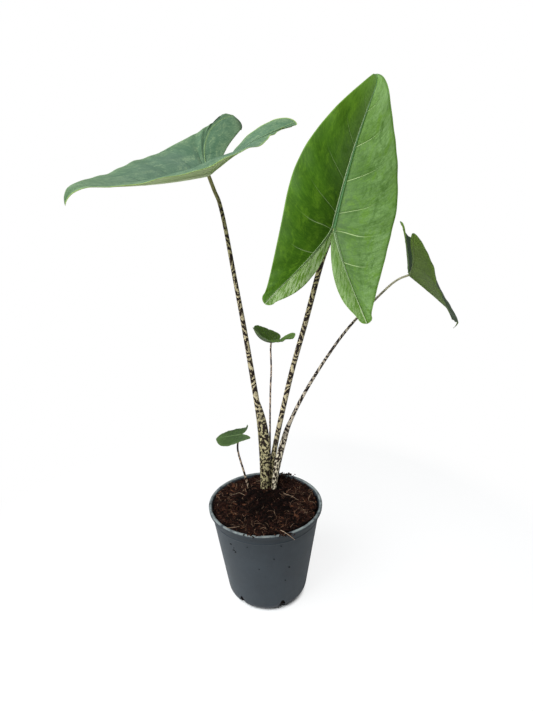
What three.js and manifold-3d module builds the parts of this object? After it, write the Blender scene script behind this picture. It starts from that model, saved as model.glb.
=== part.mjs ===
// A potted aroid house plant with arrow-shaped leaves on long banded stalks, standing in a round nursery pot.
// Millimetres, +Z up. The origin is the middle of the pot's underside, and the plant's best side faces -Y.
import * as THREE from 'three';
import Module from 'manifold-3d';
import { mergeVertices } from 'three/addons/utils/BufferGeometryUtils.js';

const wasm = await Module();
wasm.setup();

// ---------------------------------------------------------------- driving dimensions

const GAP = 0.3; // clearance between a piece and the neighbour that it touches

const POT = {
  height: 108,
  rimRadius: 60,
  lipHeight: 4,
  lipWidth: 2.6,
  ringDrop: 12, // from the rim down to the moulded ring
  ringProud: 0.5,
  shoulderRadius: 57.2, // wall just under the lip
  kneeRadius: 43, // wall where it turns into the foot
  kneeHeight: 10,
  footRadius: 33.5,
  wall: 1.4,
  floor: 1.8,
  sides: 48,
};

const DRAIN = { count: 6, firstAngle: -40, width: 8.5, height: 15, depth: 7 };

const SOIL = {
  edgeHeight: 103.5, // at the wall
  frontRise: 3.6, // the soil lies higher against the front of the rim
  crown: 6.5, // how far the middle stands over the edge
  lump: 0.9,
  rings: 7,
  sides: 42,
};

const CORM = { centre: [2, 29, 77], radii: [14, 11, 12] };

const BLADE = {
  thickness: 0.9,
  ribDepth: 2.2, // how far the midrib stands out of the underside at the stalk
  ribWidth: 3.2,
  quilt: 0.9, // how far the blade bulges between its side veins
  sideVeins: 8, // to each side of the ribs, from the tip to the end of the lobe
};

// Each leaf: lengths in mm and angles in degrees. Left and right are seen from the joint towards the tip.
// The joint is where the stalk meets the blade, and the frame there is given by heading, rise and roll.
const LEAVES = {
  middle: {
    tipLength: 150.3, lobeLength: 84.1, halfWidth: 50.8, lobeSpread: 45.9, widestAt: 17.4, notch: 4.4,
    tipFill: [0.856, 0.176], shoulders: [0.429, 0.495], lobeRound: [6.2, 5.5], notchBow: [0.722, 0.227],
    lobeNeck: 5.5,
    droop: -26.1, tipCurl: 96.4, curlFrom: 0.8, twist: -14.9, tipTwist: -23.5, lobeCurl: -1.5,
    fold: { left: 23.6, right: 34.6 }, tipFold: { left: 27.3, right: 0.9 },
    lobeFold: { left: 11.7, right: 59.3 }, edgeFlat: { left: 45.5, right: 19.1 },
    lobeLift: { left: -0.6, right: 5 }, notchLift: 0.1,
    joint: [66.7, -10, 390.7], heading: 57.1, rise: 60.7, roll: 52.2, rows: 32, columns: 6,
  },
  left: {
    tipLength: 168.5, lobeLength: 59.6, halfWidth: 54.1, lobeSpread: 73.7, widestAt: -25.4, notch: 7,
    tipFill: [0.81, 0.12], shoulders: [0.42, 0.54], lobeRound: [11.5, 15.6], notchBow: [0.663, 0.204],
    droop: -9.9, tipCurl: 72.9, curlFrom: 0.82, twist: -9.7, tipTwist: -2.5, lobeCurl: 6.5,
    fold: { left: 24.1, right: 53.5 }, tipFold: { left: -20.1, right: 28.7 },
    lobeFold: { left: 23.9, right: 100.9 }, edgeFlat: { left: 47.1, right: 19.8 },
    lobeLift: { left: 39.6, right: -22 }, notchLift: 0.12,
    joint: [-42.9, 15, 438.9], heading: 239.6, rise: -6, roll: 21, rows: 32, columns: 6,
  },
  right: {
    tipLength: 144.2, lobeLength: 54, halfWidth: 40.6, lobeSpread: 47, widestAt: 23.2, notch: 6,
    tipFill: [0.811, 0.088], shoulders: [0.398, 0.484], lobeRound: [10.7, 8.7], notchBow: [-0.049, 0.19],
    droop: 6.8, tipCurl: 102.1, curlFrom: 0.85, twist: 39.1, tipTwist: 9.2, lobeCurl: -10.8,
    fold: { left: 75.2, right: 34.5 }, tipFold: { left: -31.7, right: 13.7 },
    lobeFold: { left: 87.2, right: 73.4 }, edgeFlat: { left: 55.5, right: 36.4 },
    lobeLift: { left: 29.9, right: -20.5 }, notchLift: 0.12,
    joint: [168.3, 100, 327.8], heading: 37.1, rise: -31.5, roll: 28.4, rows: 32, columns: 6,
  },
  small_back: {
    tipLength: 40.4, lobeLength: 27.4, halfWidth: 20, lobeSpread: 14.5, widestAt: 7.5, notch: 3,
    tipFill: [0.797, 0.14], shoulders: [0.455, 0.538], lobeRound: [3.6, 5.2], notchBow: [0.533, 0.08],
    droop: -46.3, tipCurl: 15, curlFrom: 0.85, twist: -20.1, tipTwist: -0.6, lobeCurl: 0,
    fold: { left: 35.6, right: 43.3 }, tipFold: { left: 3.6, right: 17.6 },
    lobeFold: { left: 4.6, right: 51.6 }, edgeFlat: { left: 20.9, right: 10.2 },
    lobeLift: { left: 80.6, right: 0.6 }, notchLift: 0.1,
    joint: [10.8, 45, 271], heading: 232.6, rise: 19, roll: -7.4, rows: 16, columns: 4,
  },
  small_left: {
    tipLength: 30.9, lobeLength: 14.4, halfWidth: 14.7, lobeSpread: 6, widestAt: 8.5, notch: 3,
    tipFill: [0.856, 0.367], shoulders: [0.474, 0.538], lobeRound: [3.9, 2.5], notchBow: [0.35, 0.08],
    droop: 1.1, tipCurl: 33.4, curlFrom: 0.85, twist: 1.8, tipTwist: 0, lobeCurl: 0,
    fold: { left: 9.1, right: 1.6 }, tipFold: { left: -1.3, right: 0.2 },
    lobeFold: { left: 15.7, right: 38.7 }, edgeFlat: { left: 21.2, right: 28.1 },
    lobeLift: { left: -28.9, right: 35.4 }, notchLift: 0.1,
    joint: [-25.9, 25, 174.8], heading: 156.1, rise: -17.7, roll: -19, rows: 16, columns: 4,
  },
};

// Each stalk's middle line from below the soil up to its leaf's joint, with the radius at each point.
// A sheath is a wing along the stalk's foot: it reaches out to one side, widest at its middle.
const STALKS = {
  middle: {
    route: [[3.5, 30.5, 80], [4.5, 31, 100], [6.2, 31, 118], [10.5, 29.6, 148], [18.6, 26.4, 190],
      [30.8, 19.9, 247], [44.2, 11.2, 301], [56.8, -0.7, 356.4], [64.3, -7.1, 380.7], [66.7, -10, 390.7]],
    radii: [2.6, 2.9, 3.0, 2.9, 2.75, 2.65, 2.6, 2.5, 2.3, 2.2],
    sheath: { reach: 1.6, toward: 95, from: 96, to: 176 },
    sides: 10, steps: 34,
  },
  left: {
    route: [[0.5, 27, 80], [-0.6, 27, 100], [-0.9, 26.8, 120], [-1.5, 26.3, 150], [-3.8, 25.4, 191],
      [-9.6, 24, 241], [-16.5, 22, 296], [-23, 20.1, 342], [-29.5, 17.8, 389], [-33.9, 16.6, 413],
      [-37.8, 16, 423.7], [-42.9, 15, 438.9]],
    radii: [3.4, 4.2, 4.3, 3.8, 3.1, 2.8, 2.4, 2.15, 1.9, 1.8, 1.75, 1.7],
    sheath: { reach: 5.2, toward: -14, from: 100, to: 212 },
    sides: 10, steps: 36,
  },
  right: {
    route: [[6.5, 25, 80], [9, 23.4, 98], [10.4, 23.2, 112], [15, 26.4, 135], [22, 31.2, 160],
      [30.2, 36.9, 184.3], [49.6, 47.2, 218], [77.5, 61.2, 256], [101.6, 72.7, 282.4], [134.7, 87.2, 310.6],
      [152.5, 94.6, 322.9], [168.3, 100, 327.8]],
    radii: [2.2, 2.5, 2.6, 2.6, 2.3, 2.1, 1.8, 1.55, 1.45, 1.3, 1.2, 1.2],
    sheath: { reach: 2.6, toward: 200, from: 100, to: 184 },
    sides: 10, steps: 36,
  },
  small_back: {
    route: [[4, 34, 84], [5.4, 37.4, 104], [6.8, 39.8, 153], [7.8, 41.4, 191], [8.9, 42.6, 219],
      [10.2, 43.7, 241], [10.1, 44.6, 261.4], [10.8, 45, 271]],
    radii: [1, 1, 1, 0.95, 0.95, 0.9, 0.9, 0.9],
    sides: 8, steps: 24,
  },
  small_left: {
    route: [[-8.5, 28, 81], [-13.5, 27, 96], [-18.6, 26, 111], [-20.8, 25.9, 121], [-24.7, 25.6, 138.3],
      [-27.6, 25.4, 151.7], [-28.2, 25.2, 161.2], [-25.9, 25, 174.8]],
    radii: [1.3, 1.3, 1.2, 1.15, 1.1, 1.05, 1, 0.9],
    sides: 8, steps: 22,
  },
};

const COLOURS = {
  pot: 0x4b5054,
  soil: 0x2b1a14,
  corm: 0x6b4a34,
  stalk: 0x8f8358,
  middleBlade: 0x3f7628,
  leftBlade: 0x5d8769,
  rightBlade: 0x4a642c,
  smallBlade: 0x35541f,
};

// ---------------------------------------------------------------- helpers

const radians = THREE.MathUtils.degToRad;
const { lerp, smoothstep } = THREE.MathUtils;

function fromTriangles(points) {
  const soup = new THREE.BufferGeometry();
  soup.setAttribute('position', new THREE.Float32BufferAttribute(points.flatMap((p) => p.toArray()), 3));
  return soup;
}

// Joins a geometry's shared vertices and drops the triangles that this closes up.
function weld(geometry) {
  const bare = geometry.clone();
  bare.deleteAttribute('normal');
  bare.deleteAttribute('uv');
  const merged = mergeVertices(bare, 1e-3);
  const kept = [];
  const index = merged.index.array;
  for (let i = 0; i < index.length; i += 3) {
    const [a, b, c] = index.slice(i, i + 3);
    if (a !== b && b !== c && c !== a) kept.push(a, b, c);
  }
  merged.setIndex(kept);
  return merged;
}

function toSolid(geometry) {
  const welded = weld(geometry);
  return new wasm.Manifold(new wasm.Mesh({
    numProp: 3,
    vertProperties: new Float32Array(welded.attributes.position.array),
    triVerts: new Uint32Array(welded.index.array),
  }));
}

function toGeometry(solid) {
  const mesh = solid.getMesh();
  const geometry = new THREE.BufferGeometry();
  geometry.setAttribute('position', new THREE.BufferAttribute(mesh.vertProperties, 3));
  geometry.setIndex(new THREE.BufferAttribute(mesh.triVerts, 1));
  return geometry;
}

// The largest of the bodies that a cut leaves.
function largestBody(solid) {
  return solid.decompose().sort((a, b) => b.volume() - a.volume())[0];
}

// Two triangles over four corners given in order round the patch.
function quad(a, b, c, d) {
  return [a, b, c, a, c, d];
}

function bezier(p0, p1, p2, p3, t) {
  const s = 1 - t;
  const weights = [s * s * s, 3 * s * s * t, 3 * s * t * t, t * t * t];
  return [0, 1].map((axis) => [p0, p1, p2, p3].reduce((sum, p, i) => sum + p[axis] * weights[i], 0));
}

// Follows a curve whose angle is known at each length, and gives its place and angle at any length.
function followAngle(angleAt, length) {
  const pieces = 240;
  const step = length / pieces;
  const along = [0];
  const across = [0];
  for (let i = 1; i <= pieces; i += 1) {
    const before = angleAt((i - 1) * step);
    const after = angleAt(i * step);
    along.push(along[i - 1] + (step * (Math.cos(before) + Math.cos(after))) / 2);
    across.push(across[i - 1] + (step * (Math.sin(before) + Math.sin(after))) / 2);
  }
  return (s) => {
    const place = Math.min(s / step, pieces - 1e-6);
    const i = Math.floor(place);
    return {
      along: lerp(along[i], along[i + 1], place - i),
      across: lerp(across[i], across[i + 1], place - i),
      angle: angleAt(s),
    };
  };
}

// ---------------------------------------------------------------- leaf blades

const CAP_START = 0.82; // share of a necked lobe's margin before its round end

// The flat outline of half a blade, tip at +x and the joint at the origin, as three curves of 0 to 1:
// the outer margin from the tip to the end of the lobe, the inner margin of the notch, and the rib.
function halfOutline(leaf) {
  const { tipLength, lobeLength, halfWidth, lobeSpread, widestAt, notch } = leaf;
  const tip = [tipLength, 0];
  const widest = [widestAt, halfWidth];
  const lobeEnd = [-lobeLength, lobeSpread];
  const lobeSize = Math.hypot(...lobeEnd);
  const [roundOuter, roundNotch] = leaf.lobeRound;
  // A point `back` from the end of the lobe along it, and `out` to the side of the outer margin.
  const nearEnd = (back, out) => [
    lobeEnd[0] + (lobeLength * back + lobeSpread * out) / lobeSize,
    lobeEnd[1] + (lobeLength * out - lobeSpread * back) / lobeSize];
  // A margin to the end of the lobe, which it meets square to the rib. A lobe with a neck keeps its width along
  // the neck and closes in a quarter of an ellipse to each side.
  const neck = leaf.lobeNeck ?? 0;
  const cap = neck > 0 ? (roundOuter + roundNotch) / 2 : 0;
  const lobeMargin = (start, control, out, t) => {
    if (neck === 0) return bezier(start, control, nearEnd(0, out), lobeEnd, t);
    if (t < CAP_START) return bezier(start, control, nearEnd(cap + neck, out), nearEnd(cap, out), t / CAP_START);
    const turn = ((t - CAP_START) / (1 - CAP_START)) * (Math.PI / 2);
    return nearEnd(cap * (1 - Math.sin(turn)), out * Math.cos(turn));
  };
  const [ahead, behind] = leaf.shoulders;
  const [fillAlong, fillAcross] = leaf.tipFill;
  const [bowBack, bowOut] = leaf.notchBow;
  const outer = (t) => {
    if (t < 0.5) {
      return bezier(tip, [tipLength * fillAlong, halfWidth * fillAcross], [widestAt + tipLength * ahead, halfWidth],
        widest, t * 2);
    }
    return lobeMargin(widest, [widestAt - lobeLength * behind, halfWidth], roundOuter, t * 2 - 1);
  };
  const inner = (t) => lobeMargin([-notch, 0], [-notch - lobeLength * bowBack, halfWidth * bowOut], -roundNotch, t);
  const lobeRib = (t) => bezier([0, 0], [-lobeLength * 0.33, lobeSpread * 0.25],
    [-lobeLength * 0.68, lobeSpread * 0.705], lobeEnd, t);
  const rib = (t) => (t < 0.5 ? [tipLength * (1 - t * 2), 0] : lobeRib(t * 2 - 1));
  return { outer, inner, rib, lobeRib };
}

// Bends the flat blade: the midrib droops and curls at its tip, the lobes lift and curl down at their ends, the
// halves fold up from the ribs and flatten again towards the margin, and the whole twists about its midrib.
function bladeBend(leaf) {
  const { tipLength, lobeLength, halfWidth, lobeSpread, curlFrom } = leaf;
  const droop = radians(leaf.droop);
  const tipCurl = radians(leaf.tipCurl);
  const front = followAngle((s) => {
    const part = s / tipLength;
    const inCurl = Math.max((part - curlFrom) / (1 - curlFrom), 0);
    return droop * part ** 1.5 + tipCurl * inCurl ** 1.6;
  }, tipLength * 1.02);
  const lobeRun = (lift) => followAngle((s) => {
    const part = s / lobeLength;
    return radians(lift) * part ** 1.3 - radians(leaf.lobeCurl) * Math.max((part - 0.7) / 0.3, 0) ** 1.6;
  }, lobeLength * 1.3);
  const { left, right } = leaf.lobeLift;
  const backs = { left: lobeRun(left), right: lobeRun(right), centre: lobeRun((left + right) / 2) };
  const softKnee = (w) => (Math.sqrt(w * w + 0.09) - 0.3) / (Math.sqrt(1.09) - 0.3);

  return (x, y, sign) => {
    const side = sign > 0 ? 'left' : 'right';
    let spot;
    if (x >= 0) {
      const run = front(x);
      spot = { x: run.along, z: -run.across, angle: run.angle };
    } else {
      const own = backs[side](-x);
      const centre = backs.centre(-x);
      const share = smoothstep(y, 0, lobeSpread * 0.25);
      spot = {
        x: -lerp(centre.along, own.along, share),
        z: lerp(centre.across, own.across, share),
        angle: lerp(centre.angle, own.angle, share),
      };
    }
    const base = radians(leaf.fold[side]);
    const flatten = radians(leaf.edgeFlat[side]) / halfWidth;
    const ahead = Math.min(Math.max(x / tipLength, 0), 1);
    const behind = Math.min(Math.max(-x / lobeLength, 0), 1);
    const fold = x >= 0
      ? lerp(base, radians(leaf.tipFold[side]), ahead ** 1.2)
      : lerp(base, radians(leaf.lobeFold[side]), softKnee(behind));
    const reach = (Math.sin(fold) - Math.sin(fold - flatten * y)) / flatten;
    const height = (Math.cos(fold - flatten * y) - Math.cos(fold)) / flatten;
    const turn = radians((leaf.twist * x) / tipLength + leaf.tipTwist * Math.max(ahead * 2 - 1, 0) ** 2);
    const across = sign * reach * Math.cos(turn) - height * Math.sin(turn);
    const up = sign * reach * Math.sin(turn) + height * Math.cos(turn);
    return new THREE.Vector3(spot.x + Math.sin(spot.angle) * up, across, spot.z + Math.cos(spot.angle) * up);
  };
}

// The joint's frame: x towards the tip, y to the left, z out of the upper side.
function leafFrame(leaf) {
  const turn = new THREE.Euler(radians(leaf.roll), -radians(leaf.rise), radians(leaf.heading), 'ZYX');
  return new THREE.Matrix4().makeRotationFromEuler(turn).setPosition(...leaf.joint);
}

// A blade as a closed solid: the upper face, the lower face with its midrib, and the margin between them.
// grow thickens it on both faces, for cutting clearance out of a neighbour.
function bladeGeometry(leaf, grow = 0) {
  const { outer, inner, rib, lobeRib } = halfOutline(leaf);
  const bend = bladeBend(leaf);
  const frame = leafFrame(leaf);
  const nudge = 0.05;

  const normalAt = (x, y, sign) => {
    const alongX = bend(x + nudge, y, sign).sub(bend(x - nudge, y, sign));
    const alongY = bend(x, y + nudge, sign).sub(bend(x, y, sign)).multiplyScalar(sign);
    return alongX.cross(alongY).normalize();
  };
  const facesAt = ([x, y], sign, bulge) => {
    const normal = normalAt(x, y, sign);
    if (y < 1e-9) normal.add(normalAt(x, 0, -sign)).normalize();
    const ribFade = smoothstep(leaf.tipLength - x, 0, leaf.tipLength) * smoothstep(x, -leaf.lobeLength * 0.5, 0);
    const ribShape = Math.exp(-((y / BLADE.ribWidth) ** 2));
    const depth = BLADE.thickness + BLADE.ribDepth * ribFade * ribShape * (leaf.halfWidth / 55);
    const middle = bend(x, y, sign).addScaledVector(normal, bulge);
    const top = middle.clone().addScaledVector(normal, grow).applyMatrix4(frame);
    const bottom = middle.clone().addScaledVector(normal, -depth - grow).applyMatrix4(frame);
    return { top, bottom };
  };
  const mix = (a, b, t) => [lerp(a[0], b[0], t), lerp(a[1], b[1], t)];
  const quilt = (u, v) => (BLADE.quilt * leaf.halfWidth) / 55 * v * (1.25 - v) * 2
    * (1 - Math.cos(2 * Math.PI * (u * BLADE.sideVeins - 0.5))) * 0.5 * Math.min(u, 1 - u) * 4;

  const notchRise = (u, v) => {
    const [from, to] = [lobeRib(u), inner(u)];
    return leaf.notchLift * v * Math.hypot(to[0] - from[0], to[1] - from[1]);
  };

  const triangles = [];
  const addPatch = (rows, columns, innerEdge, outerEdge, sign, flip, bulgeAt) => {
    const grid = Array.from({ length: rows + 1 }, (_, i) => Array.from({ length: columns + 1 }, (__, j) => {
      const spot = mix(innerEdge(i / rows), outerEdge(i / rows), j / columns);
      return facesAt(spot, sign, bulgeAt(i / rows, j / columns));
    }));
    const emit = (a, b, c, d) => triangles.push(...((sign > 0) === flip ? quad(d, c, b, a) : quad(a, b, c, d)));
    for (let i = 0; i < rows; i += 1) {
      for (let j = 0; j < columns; j += 1) {
        const [a, b, c, d] = [grid[i][j], grid[i + 1][j], grid[i + 1][j + 1], grid[i][j + 1]];
        emit(a.top, b.top, c.top, d.top);
        emit(d.bottom, c.bottom, b.bottom, a.bottom);
      }
      const [near, far] = [grid[i][columns], grid[i + 1][columns]];
      emit(near.top, far.top, far.bottom, near.bottom);
    }
  };
  for (const sign of [1, -1]) {
    addPatch(leaf.rows, leaf.columns, rib, outer, sign, true, quilt);
    addPatch(leaf.rows / 2, leaf.columns / 2, lobeRib, inner, sign, false, notchRise);
  }
  return fromTriangles(triangles);
}

// ---------------------------------------------------------------- stalks

// A stalk as a tube whose section swells into its sheath; grow widens it and lengthens it at both ends.
function stalkGeometry(stalk, grow = 0) {
  const points = stalk.route.map((p) => new THREE.Vector3(...p));
  const curve = new THREE.CatmullRomCurve3(points, false, 'catmullrom', 0.5);
  const { sheath, sides, steps } = stalk;
  const last = points.length - 1;
  const ringAt = (t) => {
    const centre = curve.getPoint(t);
    const tangent = curve.getTangent(t);
    const eastward = new THREE.Vector3(1, 0, 0).addScaledVector(tangent, -tangent.x).normalize();
    const northward = tangent.clone().cross(eastward);
    const place = Math.min(t * last, last - 1e-6);
    const i = Math.floor(place);
    const radius = lerp(stalk.radii[i], stalk.radii[i + 1], place - i) + grow;
    return Array.from({ length: sides }, (_, k) => {
      const angle = (k / sides) * 2 * Math.PI;
      const wing = sheath ? sheathReach(sheath, centre.z, angle) : 0;
      return centre.clone()
        .addScaledVector(eastward, Math.cos(angle) * (radius + wing))
        .addScaledVector(northward, Math.sin(angle) * (radius + wing));
    });
  };
  const rings = Array.from({ length: steps + 1 }, (_, i) => ringAt(i / steps));
  const start = curve.getPoint(0).addScaledVector(curve.getTangent(0), -0.4 - grow);
  const end = curve.getPoint(1).addScaledVector(curve.getTangent(1), 0.8 + grow);
  const triangles = [];
  for (let k = 0; k < sides; k += 1) {
    const next = (k + 1) % sides;
    triangles.push(start, rings[0][next], rings[0][k]);
    for (let i = 0; i < steps; i += 1) {
      triangles.push(...quad(rings[i][k], rings[i][next], rings[i + 1][next], rings[i + 1][k]));
    }
    triangles.push(rings[steps][k], rings[steps][next], end);
  }
  return fromTriangles(triangles);
}

// How far the sheath stands out of the stalk at a height and an angle round it.
function sheathReach(sheath, height, angle) {
  const part = (height - sheath.from) / (sheath.to - sheath.from);
  if (part <= 0 || part >= 1) return 0;
  const swell = Math.sin(Math.PI * part ** 1.35) ** 0.8;
  const facing = Math.max(Math.cos(angle - radians(sheath.toward)), 0);
  return sheath.reach * swell * facing ** 4;
}

// ---------------------------------------------------------------- pot, soil and corm

function potGeometry() {
  const p = POT;
  const { height, rimRadius, wall } = p;
  const ringHeight = height - p.ringDrop;
  const slope = (p.shoulderRadius - p.kneeRadius) / (height - p.lipHeight - p.kneeHeight);
  const wallAt = (z) => p.shoulderRadius - slope * (height - p.lipHeight - z);
  const outline = [
    [0, 0], [p.footRadius, 0], [p.footRadius + 4.5, 2.6], [p.kneeRadius - 1, p.kneeHeight - 3.2],
    [p.kneeRadius, p.kneeHeight], [wallAt(ringHeight - 0.8), ringHeight - 0.8],
    [wallAt(ringHeight) + p.ringProud, ringHeight], [wallAt(ringHeight + 0.8), ringHeight + 0.8],
    [p.shoulderRadius, height - p.lipHeight], [rimRadius - 0.3, height - p.lipHeight],
    [rimRadius, height - 0.6], [rimRadius - 0.8, height], [rimRadius - p.lipWidth, height],
    [rimRadius - p.lipWidth - 1, height - 1.6], [p.shoulderRadius - wall, height - p.lipHeight - 2],
    [p.kneeRadius - wall, p.kneeHeight], [p.kneeRadius - wall - 2.6, 4.4], [p.footRadius, p.floor],
    [0, p.floor],
  ];
  const body = toSolid(new THREE.LatheGeometry(outline.map(([r, z]) => new THREE.Vector2(r, z)), p.sides)
    .rotateX(Math.PI / 2));
  return toGeometry(largestBody(drainNotches().reduce((pot, notch) => pot.subtract(notch), body)));
}

// Rounded slots through the corner between the foot and the wall.
function drainNotches() {
  const reach = POT.footRadius + DRAIN.depth / 2;
  return Array.from({ length: DRAIN.count }, (_, i) => {
    const turn = radians(DRAIN.firstAngle - 90 + (i * 360) / DRAIN.count);
    const slot = new THREE.CylinderGeometry(DRAIN.width / 2, DRAIN.width / 2, DRAIN.depth * 3, 16)
      .scale(1, 1, DRAIN.height / DRAIN.width * 2)
      .rotateZ(Math.PI / 2)
      .translate(reach + DRAIN.depth, 0, 0)
      .rotateZ(turn);
    return toSolid(slot);
  });
}

// The soil's upper face: higher in the middle and against the front of the rim, with low lumps.
function soilHeight(x, y) {
  const radius = Math.hypot(x, y) / POT.shoulderRadius;
  const front = smoothstep(-y / POT.shoulderRadius, 0.2, 1) * radius;
  const lumps = Math.sin(x * 0.21 + 1.3) * Math.cos(y * 0.17 - 0.4) + 0.6 * Math.sin(x * 0.43 - y * 0.38);
  return SOIL.edgeHeight + SOIL.crown * (1 - radius ** 2) + SOIL.frontRise * front + SOIL.lump * lumps;
}

function soilGeometry() {
  const p = POT;
  const inside = [
    [p.shoulderRadius - p.wall - 0.4, null], [p.kneeRadius - p.wall - 0.1, p.kneeHeight],
    [p.kneeRadius - p.wall - 2.8, 4.8], [p.footRadius, p.floor + GAP],
  ];
  const spot = (radius, turn, z) => {
    const clear = radius > 0 ? radius - GAP : 0;
    const [x, y] = [clear * Math.cos(turn), clear * Math.sin(turn)];
    return new THREE.Vector3(x, y, z ?? soilHeight(x, y));
  };
  const topRings = Array.from({ length: SOIL.rings }, (_, i) => [(inside[0][0] * i) / SOIL.rings, null]);
  const profile = [...topRings, ...inside, [0, p.floor + GAP]];
  const triangles = [];
  for (let k = 0; k < SOIL.sides; k += 1) {
    const turns = [k, (k + 1) % SOIL.sides].map((n) => (n / SOIL.sides) * 2 * Math.PI);
    for (let i = 0; i + 1 < profile.length; i += 1) {
      const [near, far] = [profile[i], profile[i + 1]];
      const corners = [[near, 0], [far, 0], [far, 1], [near, 1]]
        .map(([[radius, z], side]) => spot(radius, turns[side], z));
      triangles.push(...quad(...corners));
    }
  }
  return fromTriangles(triangles);
}

function cormGeometry(grow = 0) {
  const [rx, ry, rz] = CORM.radii.map((r) => r + grow);
  return new THREE.SphereGeometry(1, 18, 10).rotateX(Math.PI / 2).scale(rx, ry, rz).translate(...CORM.centre);
}

// ---------------------------------------------------------------- the plant

function finish(name, geometry, color, roughness, metalness = 0) {
  const mesh = new THREE.Mesh(geometry, new THREE.MeshStandardMaterial({ color, roughness, metalness }));
  mesh.name = name;
  return mesh;
}

// A stalk stops on the corm below and on its blade's underside above, and its sheath lies round the stalks
// that come up inside it.
function fittedStalk(name) {
  const inner = Object.keys(STALKS).slice(0, Object.keys(STALKS).indexOf(name));
  const cutters = [
    cormGeometry(GAP),
    bladeGeometry(LEAVES[name], GAP),
    ...inner.map((other) => stalkGeometry(STALKS[other], GAP)),
  ];
  return toGeometry(largestBody(cutters.reduce((stalk, cutter) => stalk.subtract(toSolid(cutter)),
    toSolid(stalkGeometry(STALKS[name])))));
}

// The soil has a plain hole for each stalk, which opens into the corm's socket.
function plantedSoil() {
  const holes = Object.values(STALKS).map((stalk) => toSolid(stalkGeometry(stalk, GAP)));
  const socket = toSolid(cormGeometry(GAP));
  return toGeometry(largestBody([socket, ...holes].reduce((soil, hole) => soil.subtract(hole),
    toSolid(soilGeometry()))));
}

const BLADE_COLOURS = {
  middle: COLOURS.middleBlade,
  left: COLOURS.leftBlade,
  right: COLOURS.rightBlade,
  small_back: COLOURS.smallBlade,
  small_left: COLOURS.smallBlade,
};

const plant = new THREE.Group();
plant.name = 'potted_plant';
plant.add(finish('pot', potGeometry(), COLOURS.pot, 0.55));
plant.add(finish('soil', plantedSoil(), COLOURS.soil, 0.95));
plant.add(finish('corm', weld(cormGeometry()), COLOURS.corm, 0.9));
for (const name of Object.keys(LEAVES)) {
  plant.add(finish(`stalk_${name}`, fittedStalk(name), COLOURS.stalk, 0.5));
  plant.add(finish(`blade_${name}`, weld(bladeGeometry(LEAVES[name])), BLADE_COLOURS[name], 0.4));
}

export default plant;
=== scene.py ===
"""Dresses the potted aroid: five arrow-shaped blades, zebra-banded stalks, bark and coir mix, nursery pot.

Shapes are worked out in millimetres, as arrays, and put into meshes in metres.
"""
import math
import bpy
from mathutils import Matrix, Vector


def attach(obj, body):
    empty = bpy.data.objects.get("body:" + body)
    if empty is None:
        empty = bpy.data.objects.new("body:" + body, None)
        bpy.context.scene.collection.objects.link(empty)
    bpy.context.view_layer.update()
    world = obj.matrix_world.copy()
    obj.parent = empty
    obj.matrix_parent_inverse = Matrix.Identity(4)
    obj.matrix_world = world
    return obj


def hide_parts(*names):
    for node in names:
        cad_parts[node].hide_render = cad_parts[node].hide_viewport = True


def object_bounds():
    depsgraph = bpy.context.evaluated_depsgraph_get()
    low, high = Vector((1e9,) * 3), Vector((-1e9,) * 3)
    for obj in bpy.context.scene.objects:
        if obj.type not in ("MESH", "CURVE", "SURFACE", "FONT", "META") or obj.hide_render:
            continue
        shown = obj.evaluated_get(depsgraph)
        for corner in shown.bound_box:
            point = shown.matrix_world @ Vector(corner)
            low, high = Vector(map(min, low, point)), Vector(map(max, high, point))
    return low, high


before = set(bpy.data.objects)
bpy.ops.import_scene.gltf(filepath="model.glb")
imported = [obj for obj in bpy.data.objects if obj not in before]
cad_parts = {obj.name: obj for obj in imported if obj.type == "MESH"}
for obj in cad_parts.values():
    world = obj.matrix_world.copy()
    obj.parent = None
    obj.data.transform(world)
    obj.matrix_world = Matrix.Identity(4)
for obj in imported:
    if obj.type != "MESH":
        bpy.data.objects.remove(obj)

import types

import bmesh
import bpy
import numpy as np
from mathutils import Matrix

bl_info = {
    "name": "Potted zebra-stalked aroid",
    "version": (1, 0, 0),
    "blender": (4, 5, 0),
    "location": "View3D > Sidebar > Plant",
    "description": "Makes the blades, stalks, potting mix and nursery pot of a young potted aroid",
    "category": "Object",
}

CAD_BOX = [list(corner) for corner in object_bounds()]
MM = 0.001

# ---------------------------------------------------------------- sizes shared with the solids, in mm

POT_SHOULDER = 57.2  # radius of the wall just under the lip
POT_LIP = 4.0  # height of the lip
POT_RING = 12.0  # from the rim down to the faint moulded ring
POT_KNEE = (43.0, 10.0)  # radius and height where the wall turns in to the foot
POT_FOOT = 33.5  # radius of the ring that the pot stands on
# Elliptic rods cut the drain slots: reach is from the pot's axis to the middle of a rod.
DRAIN = {"count": 6, "first_angle": -130.0, "width": 8.5, "height": 30.0, "length": 21.0, "reach": 44.0}
# The mix is edge high at the wall and crown higher in the middle, and no higher than brim beside the rim.
SOIL = {"edge": 103.5, "front_rise": 3.6, "crown": 6.5, "lump": 0.9, "radius": 55.0, "brim": 107.4}
SOIL_SIDE = [(54.9, 100), (41.3, 10.0), (38.6, 4.9), (33.0, 2.2), (0, 2.2)]  # radius and height, downwards
CRUMBS = 1100
GRAINS = {  # the darkest, middle and palest colour of each kind of loose bits
    "bark_chips": ((0.003, 0.0013, 0.0009), (0.027, 0.0088, 0.0055), (0.19, 0.080, 0.040)),
    "coir_fibres": ((0.010, 0.004, 0.0025), (0.090, 0.033, 0.018), (0.46, 0.31, 0.20)),
    "loose_twigs": ((0.10, 0.060, 0.040), (0.34, 0.23, 0.15), (0.50, 0.38, 0.27)),
}

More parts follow.
